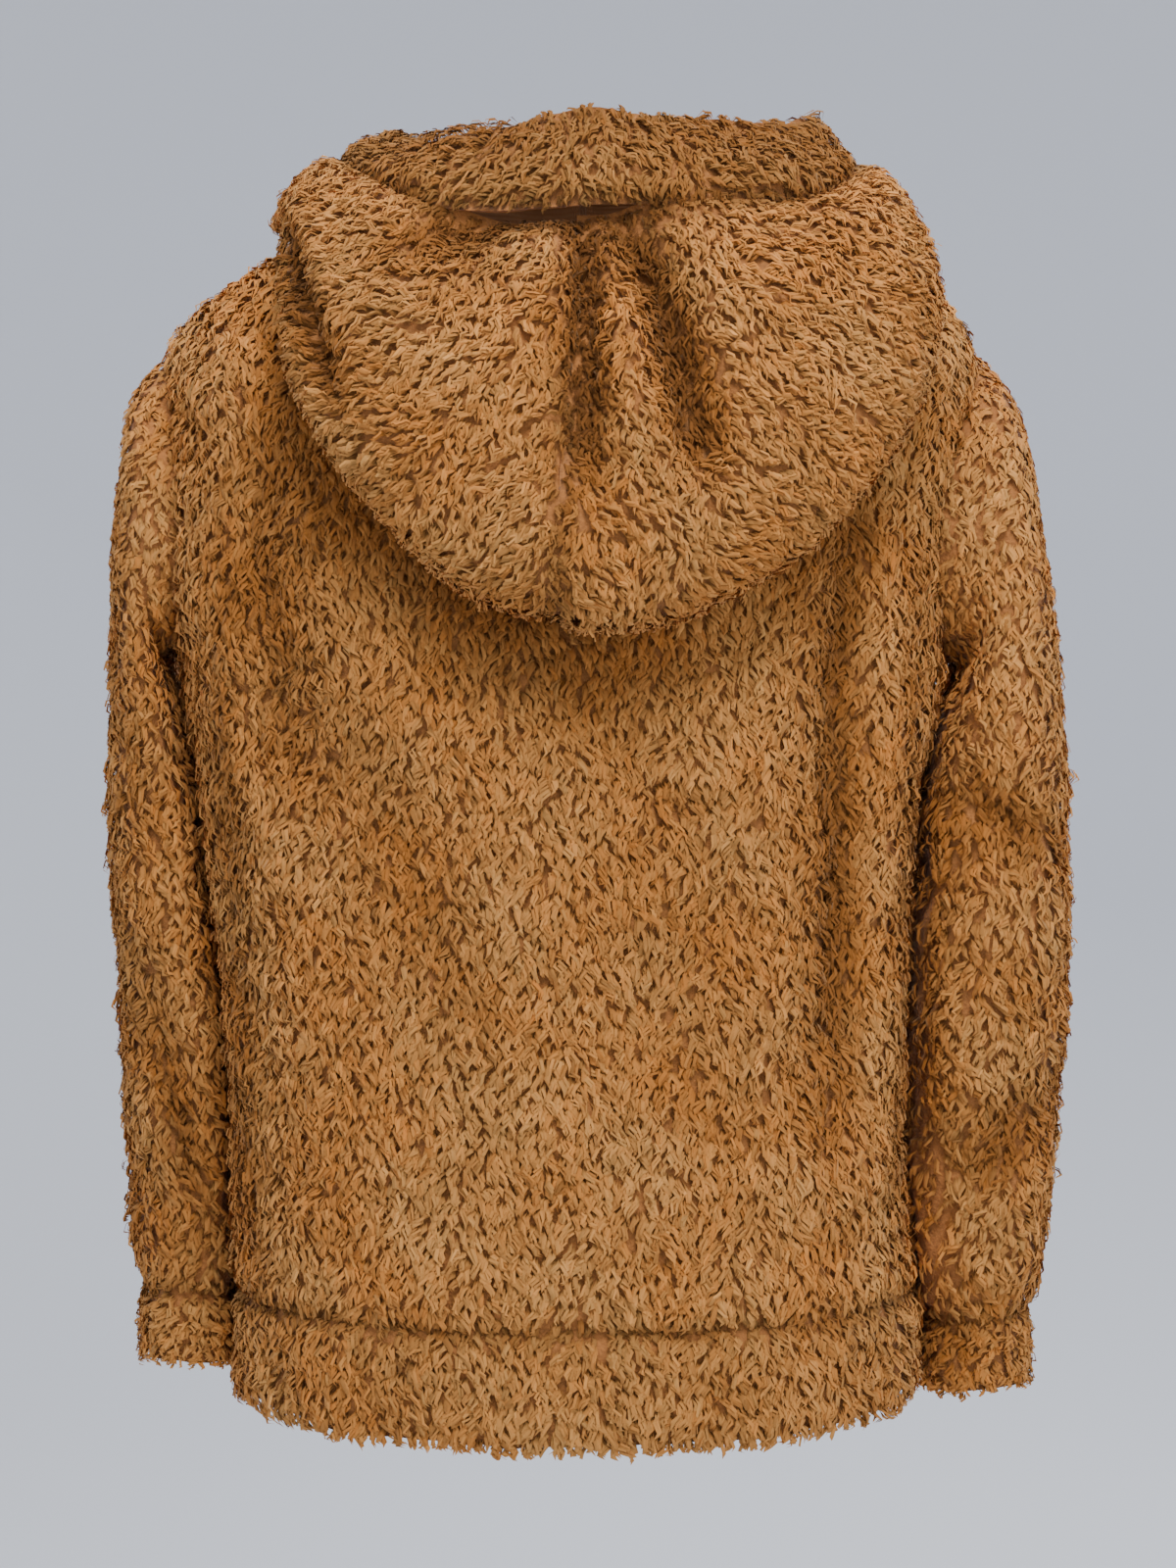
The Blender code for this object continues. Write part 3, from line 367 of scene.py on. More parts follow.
def hood_path(section, row):
    """Out and up of the hood's outer face at a row number, 0 at the neckline and 12 at the band's seam.

    Behind and beside the neck it is a pouch: it rolls over above the neckline, lies down the body, turns
    round a fold and comes up again. Towards the front it is only the roll.
    """
    roll, reach, thick = section["roll"], section["reach"], section["thick"]
    seam_out, seam_up = section["seam_out"], section["seam_up"]
    lie = CLEARANCE + 0.003 * np.clip((0.20 - reach) / 0.10, 0, 1)
    start = 1.9 * roll
    end = reach - thick / 2
    belly = HOOD_BELLY * np.clip((reach - 0.10) / 0.10, 0, 1)
    zero = np.zeros_like(roll)
    pouch = (
        (zero, zero),
        (-0.30 * roll, 0.50 * roll),
        (-0.05 * roll, 1.00 * roll),
        (0.65 * roll, 1.05 * roll),
        (1.25 * roll, 0.55 * roll),
        (start, lie),
        (start + 0.5 * (end - start), lie),
        (end, lie),
        (reach, lie + thick / 2),
        (end, lie + thick),
        (end + 0.33 * (seam_out - end), lie + thick + 0.4 * (seam_up - lie - thick) + belly),
        (end + 0.66 * (seam_out - end), lie + thick + 0.7 * (seam_up - lie - thick) + belly),
        (seam_out, seam_up),
    )
    bow = 0.4 * roll * np.sin(np.pi * np.arange(13) / 12)[:, None]
    arch = [(seam_out * k / 12 + bow[k], seam_up * k / 12 + bow[k]) for k in range(13)]
    share = section["pouch"]
    blend = [
        [share * p[axis] + (1 - share) * a[axis] for p, a in zip(pouch, arch)]
        for axis in (0, 1)
    ]
    out, up = (cubic(np.array(values), row) for values in blend)
    return out, up


def cubic(values, at):
    """Values at a fractional index of their first axis, on the same curve as read."""
    row = min(int(at), len(values) - 2)
    return hermite(values, np.gradient(values, axis=0), row, at - row)


def hood_half(side):
    """A hood half's outer grid: rows from the neckline to the band, columns from left to right."""
    angle = hood_angles()
    angle = angle[angle >= -1e-9] if side > 0 else angle[angle <= 1e-9]
    section = hood_section(angle)
    rows = []
    for row in HOOD_ROWS:
        out, up = hood_path(section, row)
        rows.append(on_body(angle, out, up))
    return np.array(rows)


def hood_band():
    """The band's outer grid: rows from its seam to the rim."""
    angle = hood_angles()
    section = hood_section(angle)
    rows = []
    for share in np.linspace(0, 1, HOOD_BAND_COLUMNS + 1):
        lead = angle + np.sign(angle) * section["rim_lead"] * share
        out = section["seam_out"] + (section["rim_out"] - section["seam_out"]) * share
        up = section["seam_up"] + (section["rim_up"] - section["seam_up"]) * share
        rows.append(on_body(lead, out, up))
    grid = np.array(rows)
    for column, side in ((0, -1), (-1, 1)):
        grid[:, column] = front_panel(side)[0, -1 - HOOD_BAND_COLUMNS:]
    return grid


# ------------------------------------------------------------------------------------------------ folds

# A fold is a soft trough, or a ridge where its depth is negative, along a straight line on the back (-1)
# or the front (1) of the garment, with its ends given as heights and places across.
FOLDS = (
    ("face", "x_top", "z_top", "x_low", "z_low", "width", "depth"),
    (-1, 0.150, -0.190, 0.140, -0.520, 0.022, 0.010),
    (-1, 0.172, -0.230, 0.165, -0.560, 0.018, -0.006),
    (-1, -0.190, -0.160, -0.160, -0.330, 0.022, 0.006),
    (-1, -0.120, -0.300, -0.070, -0.470, 0.030, 0.005),
    (-1, 0.030, -0.330, 0.060, -0.500, 0.030, 0.004),
    (1, -0.120, -0.260, -0.100, -0.520, 0.028, 0.009),
    (1, 0.110, -0.250, 0.120, -0.560, 0.028, 0.008),
)
SLEEVE_FOLDS = (
    ("face", "x_top", "z_top", "x_low", "z_low", "width", "depth"),
    (-1, 0.225, -0.345, 0.275, -0.375, 0.016, 0.007),
    (-1, 0.220, -0.545, 0.270, -0.520, 0.018, 0.006),
    (-1, -0.262, -0.430, -0.235, -0.560, 0.016, 0.007),
    (-1, -0.255, -0.560, -0.228, -0.630, 0.014, 0.006),
    (1, 0.225, -0.360, 0.270, -0.330, 0.020, 0.008),
    (1, -0.225, -0.360, -0.268, -0.335, 0.020, 0.008),
)
HOOD_FOLDS = (
    ("face", "x_top", "z_top", "x_low", "z_low", "width", "depth"),
    (-1, 0.000, 0.000, 0.004, -0.175, 0.013, 0.009),
    (-1, 0.030, -0.030, 0.062, -0.160, 0.017, 0.011),
    (-1, -0.030, -0.020, -0.110, -0.052, 0.016, 0.008),
    (-1, -0.165, -0.045, -0.140, -0.110, 0.013, 0.007),
)


def fold_depth(points, normals, table):
    """How far each point sinks into the folds that face its way."""
    depth = np.zeros(points.shape[:-1])
    for row in table[1:]:
        fold = dict(zip(table[0], row))
        top = np.array([fold["x_top"], fold["z_top"]])
        run = np.array([fold["x_low"], fold["z_low"]]) - top
        offset = points[..., [0, 2]] - top
        along = np.clip(offset @ run / (run @ run), 0, 1)
        away = np.linalg.norm(offset - along[..., None] * run, axis=-1)
        fade = np.sin(np.pi * np.clip(0.12 + 0.76 * along, 0, 1)) ** 0.5
        facing = np.clip(fold["face"] * normals[..., 1] * 2.5, 0, 1)
        depth += fold["depth"] * fade * facing * np.exp(-((away / fold["width"]) ** 2))
    return depth


# ------------------------------------------------------------------------------------------- zip frame


def chain_frame(down):
    """Place and directions of the zip's chain, in the middle of the wall at the centre front."""
    level = read(BODY_LEVELS, down)
    edge = body(180.0, down)
    normal = body_normal(180.0, down) * np.array([0, 1, 1])
    normal = unit(normal)
    place = edge - normal * WALL / 2
    place[..., 0] = level["x"]
    across = np.array([1.0, 0.0, 0.0])
    upward = np.cross(across, normal)
    return place, across, normal, upward


# ----------------------------------------------------------------------------------------------- cloth

CELL = 0.0072  # of a cloth's grid
PILE = 0.0031  # depth of the backing under the cloth's surface
TALL = 0.0047  # height of the pile over the backing
BACKING = 0.0026  # thickness of the knit backing
SEAM_WIDTH = 0.0055
SEAM_SINK = 0.0036  # how far the cloth's surface sinks along a seam
ALLOWANCE = 0.0035  # how far the backings lie over each other at a seam
ZIP_ALLOWANCE = 0.45  # strength of it on a front's edge along the zip
NECK_DROP = (0.0, 0.0, -0.0065)  # the hood's lower edge, moved down into the neckline
NECK_TUCK = 0.0015
LEAST_SHARE = 0.25  # of the cloth's thickness

# Soft unevenness of the cloth's surface: its height, its length and its random seed.
SOFTNESS = ((0.0016, 0.055, 3), (0.0011, 0.024, 4))

# Small folds of the photographed side (-1) and of the front (1): a path of places across and heights,
# the width of the trough and its depth. A negative depth is a ridge.
CREASES = {
    "back": (
        (-1, ((0.150, -0.190), (0.140, -0.286), (0.137, -0.326), (0.145, -0.373),
              (0.147, -0.419), (0.154, -0.503)), 0.010, 0.0050),
        (-1, ((-0.185, -0.061), (-0.175, -0.094), (-0.160, -0.130)), 0.008, 0.0045),
        (-1, ((0.167, -0.180), (0.160, -0.300), (0.163, -0.400), (0.168, -0.500)), 0.011, -0.0035),
        (-1, ((0.139, -0.200), (0.131, -0.300), (0.136, -0.420)), 0.012, -0.0022),
        (-1, ((0.030, -0.338), (0.059, -0.350), (0.094, -0.347)), 0.010, 0.0026),
        (-1, ((0.036, -0.325), (0.064, -0.337), (0.092, -0.335)), 0.010, -0.0014),
        (-1, ((-0.193, -0.140), (-0.205, -0.230), (-0.196, -0.330)), 0.016, -0.0030),
        (-1, ((-0.178, -0.120), (-0.186, -0.220), (-0.176, -0.320)), 0.014, 0.0030),
        (-1, ((-0.120, -0.260), (-0.090, -0.300), (-0.040, -0.310)), 0.020, -0.0018),
        (-1, ((0.060, -0.560), (0.120, -0.590), (0.160, -0.575)), 0.014, 0.0018),
    ),
    "front_left": (
        (1, ((-0.190, -0.240), (-0.150, -0.300), (-0.120, -0.380)), 0.016, 0.0045),
        (1, ((-0.060, -0.200), (-0.070, -0.330), (-0.050, -0.470)), 0.020, 0.0030),
        (1, ((-0.150, -0.480), (-0.110, -0.560), (-0.090, -0.610)), 0.018, 0.0028),
    ),
    "front_right": (
        (1, ((0.170, -0.250), (0.130, -0.310), (0.100, -0.400)), 0.016, 0.0045),
        (1, ((0.060, -0.180), (0.075, -0.300), (0.070, -0.420)), 0.020, 0.0028),
        (1, ((0.150, -0.500), (0.110, -0.580), (0.080, -0.620)), 0.018, 0.0030),
    ),
    "sleeve_left": (
        (-1, ((-0.2250, -0.200), (-0.2320, -0.260), (-0.2260, -0.330)), 0.010, 0.0030),
        (-1, ((-0.2460, -0.500), (-0.2330, -0.560), (-0.2180, -0.615)), 0.009, 0.0042),
        (-1, ((-0.2560, -0.500), (-0.2450, -0.565), (-0.2290, -0.625)), 0.009, -0.0030),
        (-1, ((-0.2650, -0.300), (-0.2560, -0.350), (-0.2420, -0.390)), 0.011, 0.0030),
        (1, ((-0.2650, -0.380), (-0.2450, -0.370), (-0.2250, -0.385)), 0.011, 0.0040),
        (1, ((-0.2620, -0.540), (-0.2430, -0.560), (-0.2250, -0.550)), 0.010, 0.0032),
    ),
    "sleeve_right": (
        (-1, ((0.2150, -0.352), (0.2380, -0.360), (0.2620, -0.377)), 0.009, 0.0042),
        (-1, ((0.2200, -0.375), (0.2400, -0.383), (0.2560, -0.392)), 0.008, 0.0034),
        (-1, ((0.2130, -0.240), (0.2180, -0.330), (0.2060, -0.440)), 0.010, 0.0032),
        (-1, ((0.2120, -0.555), (0.2330, -0.560), (0.2560, -0.548)), 0.010, 0.0040),
        (-1, ((0.2100, -0.600), (0.2300, -0.617), (0.2580, -0.615)), 0.010, -0.0030),
        (-1, ((0.2440, -0.440), (0.2500, -0.500), (0.2420, -0.560)), 0.011, 0.0026),
        (1, ((0.2180, -0.380), (0.2400, -0.365), (0.2640, -0.378)), 0.011, 0.0042),
        (1, ((0.2160, -0.560), (0.2380, -0.545), (0.2580, -0.556)), 0.010, 0.0034),
    ),
    "cuff_right": ((-1, ((0.200, -0.643), (0.214, -0.660), (0.222, -0.672)), 0.008, 0.0032),),
    "hood_left": (
        (-1, ((-0.004, 0.012), (0.001, -0.060), (0.003, -0.170)), 0.0085, 0.0075),
        (-1, ((-0.004, -0.010), (-0.022, -0.024), (-0.083, -0.040)), 0.0110, 0.0100),
        (-1, ((-0.040, -0.058), (-0.065, -0.064), (-0.090, -0.060)), 0.0095, 0.0060),
        (-1, ((-0.020, -0.080), (-0.022, -0.130), (-0.010, -0.190)), 0.0100, 0.0030),
        (-1, ((-0.167, -0.026), (-0.156, -0.066), (-0.143, -0.104), (-0.128, -0.140)), 0.0070, 0.0090),
        (-1, ((-0.153, -0.030), (-0.143, -0.066), (-0.131, -0.100)), 0.0080, -0.0035),
    ),
    "hood_right": (
        (-1, ((-0.004, 0.012), (0.001, -0.060), (0.003, -0.170)), 0.0085, 0.0075),
        (-1, ((0.010, -0.010), (0.023, -0.036), (0.044, -0.089), (0.055, -0.142),
              (0.066, -0.166)), 0.0105, 0.0115),
        (-1, ((0.012, -0.070), (0.023, -0.115), (0.030, -0.155)), 0.0110, -0.0060),
        (-1, ((0.090, -0.070), (0.100, -0.110), (0.090, -0.150)), 0.0200, -0.0030),
        (-1, ((0.100, -0.010), (0.130, -0.030), (0.150, -0.060)), 0.0120, 0.0028),
    ),
    "hem_band": (
        (-1, ((-0.120, -0.640), (-0.110, -0.670), (-0.112, -0.700)), 0.012, 0.0018),
        (-1, ((0.060, -0.640), (0.070, -0.665), (0.066, -0.700)), 0.012, 0.0018),
    ),
}

# Painted shade and shadow in the pile's colour, where it is darker: deep in a fold, under the hood's edge
# or between two pieces. The same columns, with the share of the light that is lost in place of the depth.
SHADES = {
    "back": (
        (-1, ((-0.172, -0.120), (-0.105, -0.201), (-0.062, -0.243), (-0.020, -0.272),
              (0.030, -0.276)), 0.028, 0.36),
        (-1, ((0.010, -0.274), (0.065, -0.262), (0.108, -0.226), (0.138, -0.172)), 0.017, 0.20),
        (-1, ((-0.178, -0.110), (-0.156, -0.190), (-0.130, -0.260)), 0.020, 0.12),
        (-1, ((-0.200, -0.170), (-0.203, -0.300), (-0.192, -0.480), (-0.186, -0.620)), 0.010, 0.30),
        (-1, ((0.186, -0.200), (0.184, -0.360), (0.178, -0.500), (0.176, -0.620)), 0.008, 0.25),
    ),
    "sleeve_left": (
        (-1, ((-0.214, -0.160), (-0.216, -0.300), (-0.206, -0.480), (-0.196, -0.620)), 0.010, 0.34),
        (-1, ((-0.236, -0.520), (-0.220, -0.570), (-0.205, -0.610)), 0.018, 0.18),
    ),
    "sleeve_right": (
        (-1, ((0.194, -0.220), (0.196, -0.320), (0.196, -0.470), (0.194, -0.620)), 0.013, 0.34),
        (-1, ((0.212, -0.555), (0.233, -0.560), (0.250, -0.548)), 0.012, 0.20),
    ),
    "cuff_right": ((-1, ((0.196, -0.640), (0.206, -0.660), (0.212, -0.680)), 0.012, 0.30),),
    "hood_band": ((-1, ((-0.150, 0.022), (0.000, 0.036), (0.150, 0.026)), 0.030, 0.30),),
    "hood_left": (
        (-1, ((-0.060, -0.016), (-0.030, -0.009), (0.006, -0.008)), 0.012, 0.60),
        (-1, ((-0.010, -0.014), (-0.040, -0.030), (-0.085, -0.041)), 0.012, 0.26),
        (-1, ((-0.167, -0.026), (-0.156, -0.066), (-0.143, -0.104), (-0.128, -0.140)), 0.006, 0.40),
        (-1, ((0.001, 0.000), (0.002, -0.080), (0.003, -0.170)), 0.007, 0.40),
    ),
    "hood_right": (
        (-1, ((0.000, -0.008), (0.014, -0.011), (0.030, -0.016)), 0.012, 0.55),
        (-1, ((0.020, -0.030), (0.042, -0.085), (0.053, -0.138), (0.062, -0.158)), 0.010, 0.50),
        (-1, ((0.003, 0.000), (0.004, -0.080), (0.004, -0.170)), 0.007, 0.40),
    ),
}

# How strongly the pile parts along a piece's sewn edges, where painted shade also darkens it: its first and
# last row, first and last column.
SEWN = {
    "back": (0.7, 1.0, 0.35, 0.35),
    "front_left": (0.7, 1.0, 0.35, 0.0),
    "front_right": (0.7, 1.0, 0.35, 0.0),
    "hem_band": (1.0, 0.0, 0.0, 0.0),
    "sleeve_left": (0.5, 0.9, 0.0, 0.0),
    "sleeve_right": (0.5, 0.9, 0.0, 0.0),
    "cuff_left": (0.9, 0.0, 0.0, 0.0),
    "cuff_right": (0.9, 0.0, 0.0, 0.0),
    "hood_left": (0.5, 1.1, 0.0, 0.9),
    "hood_right": (0.5, 1.1, 0.9, 0.0),
    "hood_band": (1.1, 0.0, 0.0, 0.0),
}


# Where two pieces swell towards each other: x and z of the middle, the half height, and the swell along X.
SWELLS = {
    "sleeve_right": (0.200, -0.305, 0.062, -0.0090),
    "back": (0.190, -0.305, 0.062, 0.0050),
    "front_right": (0.190, -0.305, 0.062, 0.0050),
}
SWELL_WIDTH = 0.045


def waves(points, size, seed):
    """A smooth field from -1 to 1: a sum of seven sine waves of about the given length, turned at random.

    It is divided by 3.2, so that it comes near 1 now and then, and clipped.
    """
    rng = np.random.default_rng(seed)
    total = 0
    for _ in range(7):
        heading = rng.normal(size=3)
        heading *= 2 * np.pi / (size * rng.uniform(0.7, 1.5) * np.linalg.norm(heading))
        total = total + np.sin(points @ heading + rng.uniform(0, 6.28))
    return np.clip(total / 3.2, -1, 1)


def spline(values, knots, at):
    """A grid's first axis on the cubic Hermite curve through its knots."""
    row = np.clip(np.searchsorted(knots, at, side="right") - 1, 0, len(knots) - 2)
    step = knots[row + 1] - knots[row]
    t = (at - knots[row]) / step
    t, step = (a.reshape((-1,) + (1,) * (values.ndim - 1)) for a in (t, step))
    return hermite(values, np.gradient(values, knots, axis=0), row, t, step)


def refine(grid, cell, tube):
    """The grid with even cells of about the given size, on smooth curves along its rows and columns."""
    for axis in (0, 1):
        grid = np.swapaxes(grid, 0, axis)
        wrap = 3 if tube and axis == 1 else 0  # columns added on both sides, so that the curve closes
        if wrap:
            grid = np.concatenate([grid[-wrap:], grid, grid[: wrap + 1]])
        step = np.linalg.norm(np.diff(grid[..., :3], axis=0), axis=-1).mean(axis=1)
        knots = np.concatenate([[0], np.cumsum(np.maximum(step, 1e-4))])
        first, last = knots[wrap], knots[-1 - wrap]
        at = np.linspace(first, last, max(3, math.ceil((last - first) / cell)) + 1)
        if wrap:
            at = at[:-1]
        grid = np.swapaxes(spline(grid, knots, at), 0, axis)
    return grid


def crease_depth(points, normals, creases):
    """Depth of the small folds: a bell curve of the distance to each path, on the side the path is on."""
    depth = np.zeros(points.shape[:-1])
    for face, path, width, deep in creases:
        path = np.array(path)
        away = np.full(depth.shape, 1.0)
        along = np.zeros(depth.shape)
        for k, (a, b) in enumerate(zip(path[:-1], path[1:])):
            offset = points[..., [0, 2]] - a
            share = np.clip(offset @ (b - a) / ((b - a) @ (b - a)), 0, 1)
            near = np.linalg.norm(offset - share[..., None] * (b - a), axis=-1)
            closer = near < away
            away = np.where(closer, near, away)
            along = np.where(closer, (k + share) / (len(path) - 1), along)
        fade = np.clip(4 * np.minimum(along, 1 - along) + 0.35, 0, 1)
        facing = np.clip(face * normals[..., 1] * 3, 0, 1)
        depth += deep * fade * facing * np.exp(-((away / width) ** 2))
    return depth


def swell(points, normals, name):
    """The cloth moved along X around a piece's swelling, where it faces that way."""
    if name not in SWELLS:
        return points
    x, z, half, push = SWELLS[name]
    near = np.exp(-(((points[..., 2] - z) / half) ** 2) - ((points[..., 0] - x) / SWELL_WIDTH) ** 2)
    facing = np.clip(1.6 * np.sign(push) * normals[..., 0] - 0.2, 0, 1)
    moved = points.copy()
    moved[..., 0] += push * near * facing
    return moved


class Cloth:
    """A cloth piece's even grid: its surface where the pile ends, directions, and what the pile follows."""

    def __init__(self, name, grid, outward=1, tube=False, folds=None, thickness=1.0, rows=None):
        self.name, self.outward, self.tube = name, outward, tube
        coarse = np.array(grid)
        share = np.broadcast_to(thickness, coarse.shape[:-1])[..., None]
        rows = np.arange(len(coarse)) if rows is None else np.array(rows)
        row = np.broadcast_to(rows[:, None], coarse.shape[:-1])[..., None]
        fine = refine(np.concatenate([coarse, share, row], axis=-1), CELL, tube)
        points, self.share, self.row = fine[..., :3], np.clip(fine[..., 3], LEAST_SHARE, 1), fine[..., 4]
        points = swell(points, self.directions(points)[0], name)
        normals = self.directions(points)[0]
        dent = np.zeros(points.shape[:-1])
        if folds:
            dent = dent + fold_depth(points, normals, folds)
        dent = dent + crease_depth(points, normals, CREASES.get(name, ()))
        edge = self.edge_share(points, SEWN[name])
        soft = sum(height * waves(points, length, seed) for height, length, seed in SOFTNESS)
        soft = soft * self.share * (1 - edge)
        self.dent = dent * self.share
        self.surface = points - normals * (self.dent + soft + SEAM_SINK * edge * self.share)[..., None]
        self.edge = edge
        self.normals, self.down = self.directions(self.surface)

    def directions(self, points):
        """Unit normals, and unit directions down the columns, by differences."""
        down = np.gradient(points, axis=0)
        if self.tube:
            around = np.roll(points, -1, axis=1) - np.roll(points, 1, axis=1)
        else:
            around = np.gradient(points, axis=1)
        normals = self.outward * unit(np.cross(down, around))
        length = np.linalg.norm(np.diff(points, axis=0), axis=-1).sum(axis=0)
        share = np.clip(length / SHORT_COLUMN, 0, 1)[:, None]
        return unit(share * normals + (1 - share) * normals.mean(axis=0)), unit(down)

    def edge_share(self, points, sewn):
        """1 on a sewn edge and 0 away from it, by the distance on the cloth."""
        nearness = np.zeros(points.shape[:-1])
        for axis, strengths in ((0, sewn[:2]), (1, sewn[2:])):
            if axis == 1 and self.tube:
                continue
            step = np.linalg.norm(np.diff(points, axis=axis), axis=-1)
            zero = np.zeros_like(np.take(step, [0], axis=axis))
            run = np.cumsum(np.concatenate([zero, step], axis=axis), axis=axis)
            back = np.take(run, [-1], axis=axis) - run
            for distance, strength in ((run, strengths[0]), (back, strengths[1])):
                nearness = np.maximum(nearness, strength * np.exp(-((distance / SEAM_WIDTH) ** 2)))
        return nearness

    def lengths(self):
        """Metres along the rows and down the columns, for a pattern that follows the cloth."""
        closed = np.concatenate([self.surface, self.surface[:, :1]], axis=1) if self.tube else self.surface
        across = np.linalg.norm(np.diff(closed, axis=1), axis=-1).mean(axis=0)
        down = np.linalg.norm(np.diff(closed, axis=0), axis=-1).mean(axis=1)
        u = np.concatenate([[0], np.cumsum(across)])
        v = np.concatenate([[0], np.cumsum(down)])
        return np.stack(np.broadcast_arrays(u[None, :], v[:, None]), axis=-1)


def make_mesh(name, points, faces, materials, uv=None, uv_faces=None, face_material=None):
    """A mesh object from arrays of points and of faces with the same number of corners."""
    mesh = bpy.data.meshes.new(name)
    mesh.vertices.add(len(points))
    mesh.vertices.foreach_set("co", np.ascontiguousarray(points, dtype=np.float32).ravel())
    mesh.loops.add(faces.size)
    mesh.loops.foreach_set("vertex_index", np.ascontiguousarray(faces, dtype=np.int32).ravel())
    mesh.polygons.add(len(faces))
    mesh.polygons.foreach_set("loop_start", np.arange(0, faces.size, faces.shape[1], dtype=np.int32))
    mesh.polygons.foreach_set("use_smooth", np.ones(len(faces), dtype=bool))
    if face_material is not None:
        mesh.polygons.foreach_set("material_index", np.ascontiguousarray(face_material, dtype=np.int32))
    for finish_used in materials:
        mesh.materials.append(finish_used)
    if uv is not None:
        layer = mesh.uv_layers.new(name="cloth")
        layer.data.foreach_set("uv", np.ascontiguousarray(uv[uv_faces.ravel()], dtype=np.float32).ravel())
    mesh.update(calc_edges=True)
    thing = bpy.data.objects.new(name, mesh)
    bpy.context.scene.collection.objects.link(thing)
    return thing


def cells(rows, count, tube):
    """Corner numbers of a grid's cells, and of the same cells in a map with one more column on a tube."""
    i, j = np.meshgrid(np.arange(rows - 1), np.arange(count if tube else count - 1), indexing="ij")
    width = count + 1 if tube else count

    def corners(columns_wide, wrap):
        k = (j + 1) % count if wrap else j + 1
        above, below = i * columns_wide, (i + 1) * columns_wide
        return np.stack([c.ravel() for c in (above + j, below + j, below + k, above + k)], axis=1)

    return corners(count, tube), corners(width, False)


def copies(shape, count):
    """The faces of one small form, numbered for as many copies of it."""
    return (np.arange(count)[:, None, None] * (shape.max() + 1) + shape).reshape(-1, shape.shape[1])


def prism_walls(sides):
    """The side faces between two rings of corners."""
    k = np.arange(sides)
    return np.stack([k, (k + 1) % sides, (k + 1) % sides + sides, k + sides], axis=1)


def seam_allowance(points, cloth):
    """The grid's sewn borders moved out along the cloth, so that the pieces lie over each other at a seam."""
    points = points.copy()
    sewn = SEWN[cloth.name]
    if cloth.name in ("hood_left", "hood_right"):
        points[0] += NECK_DROP - NECK_TUCK * unit(points[0] * (1, 1, 0))
    for border, inner, strength in ((0, 1, sewn[0]), (-1, -2, sewn[1])):
        points[border] += unit(points[border] - points[inner]) * ALLOWANCE * min(1.0, 2 * strength)
    if not cloth.tube:
        for border, inner, strength in ((0, 1, sewn[2]), (-1, -2, sewn[3])):
            if np.abs(points[:, border, 0]).mean() < 0.03 and points[:, border, 1].mean() > 0:
                strength = ZIP_ALLOWANCE
            outward = unit(points[:, border] - points[:, inner])
            points[:, border] += outward * ALLOWANCE * min(1.0, 2 * strength)
    return points


def cloth_shell(cloth, materials):
    """The backing as a closed shell under the pile: its outer face, its inner face and its edges."""
    rows, count = cloth.surface.shape[:2]
    depth = PILE * cloth.share[..., None]
    outer = seam_allowance(cloth.surface - cloth.normals * depth, cloth)
    inner = outer - cloth.normals * BACKING * np.minimum(1, cloth.share[..., None] * 1.3)
    points = np.concatenate([outer.reshape(-1, 3), inner.reshape(-1, 3)])
    faces, uv_faces = cells(rows, count, cloth.tube)
    offset = rows * count
    uv = cloth.lengths().reshape(-1, 2)
    index = np.arange(offset).reshape(rows, count)
    if cloth.tube:
        index = np.concatenate([index, index[:, :1]], axis=1)
    uv_index = np.arange(len(uv)).reshape(rows, -1)
    borders = [(index[0, ::-1], uv_index[0, ::-1]), (index[-1], uv_index[-1])]
    if not cloth.tube:
        borders += [(index[:, 0], uv_index[:, 0]), (index[::-1, -1], uv_index[::-1, -1])]
    rims = [np.stack([a[:-1], a[:-1] + offset, a[1:] + offset, a[1:]], axis=1)[:, ::-1] for a, _ in borders]
    rim_uv = [np.stack([b[:-1], b[:-1], b[1:], b[1:]], axis=1)[:, ::-1] for _, b in borders]
    every = np.concatenate([faces, faces[:, ::-1] + offset, *rims])
    every_uv = np.concatenate([uv_faces, uv_faces[:, ::-1], *rim_uv])
    if cloth.outward < 0:
        every, every_uv = every[:, ::-1], every_uv[:, ::-1]
    side = np.concatenate([np.zeros(len(faces)), np.ones(len(faces)), np.zeros(sum(len(r) for r in rims))])
    shell = make_mesh(f"backing_{cloth.name}", points, every, materials, uv, every_uv, side)
    work = bmesh.new()
    work.from_mesh(shell.data)
    bmesh.ops.remove_doubles(work, verts=work.verts, dist=0.00002)
    work.to_mesh(shell.data)
    work.free()
    return shell


# ------------------------------------------------------------------------------------------------ pile

LOCK_RIBBONS = 3
LOCK_SPREAD = 0.00110  # between the roots of a lock's ribbons, to the side
LOCK_STAGGER = 0.0010  # of the roots, along the nap
CURL = 0.0011  # how far a ribbon swings to one side
RIBBON_WIDTH = 0.0019
PIECE_RIBBONS = 48000  # the most in one mesh
RIBBON_FACES = np.array([(0, 1, 2), (1, 3, 4), (1, 4, 2), (3, 5, 4)])

# A ribbon's spine at its root, at a third, at two thirds and at its tip: the share of its length, of its
# height and of its swing, and how far the lock has closed up.
RIBBON_AT = np.array([0.0, 0.34, 0.70, 1.0])
RIBBON_RISE = np.array([0.0, 0.86, 1.02, 0.52])
RIBBON_SWING = np.array([0.0, 1.0, -0.7, 0.5])
RIBBON_CLOSE = np.array([0.0, 0.0, 0.35, 0.70])
TIP_WIDTH = 0.9  # at two thirds

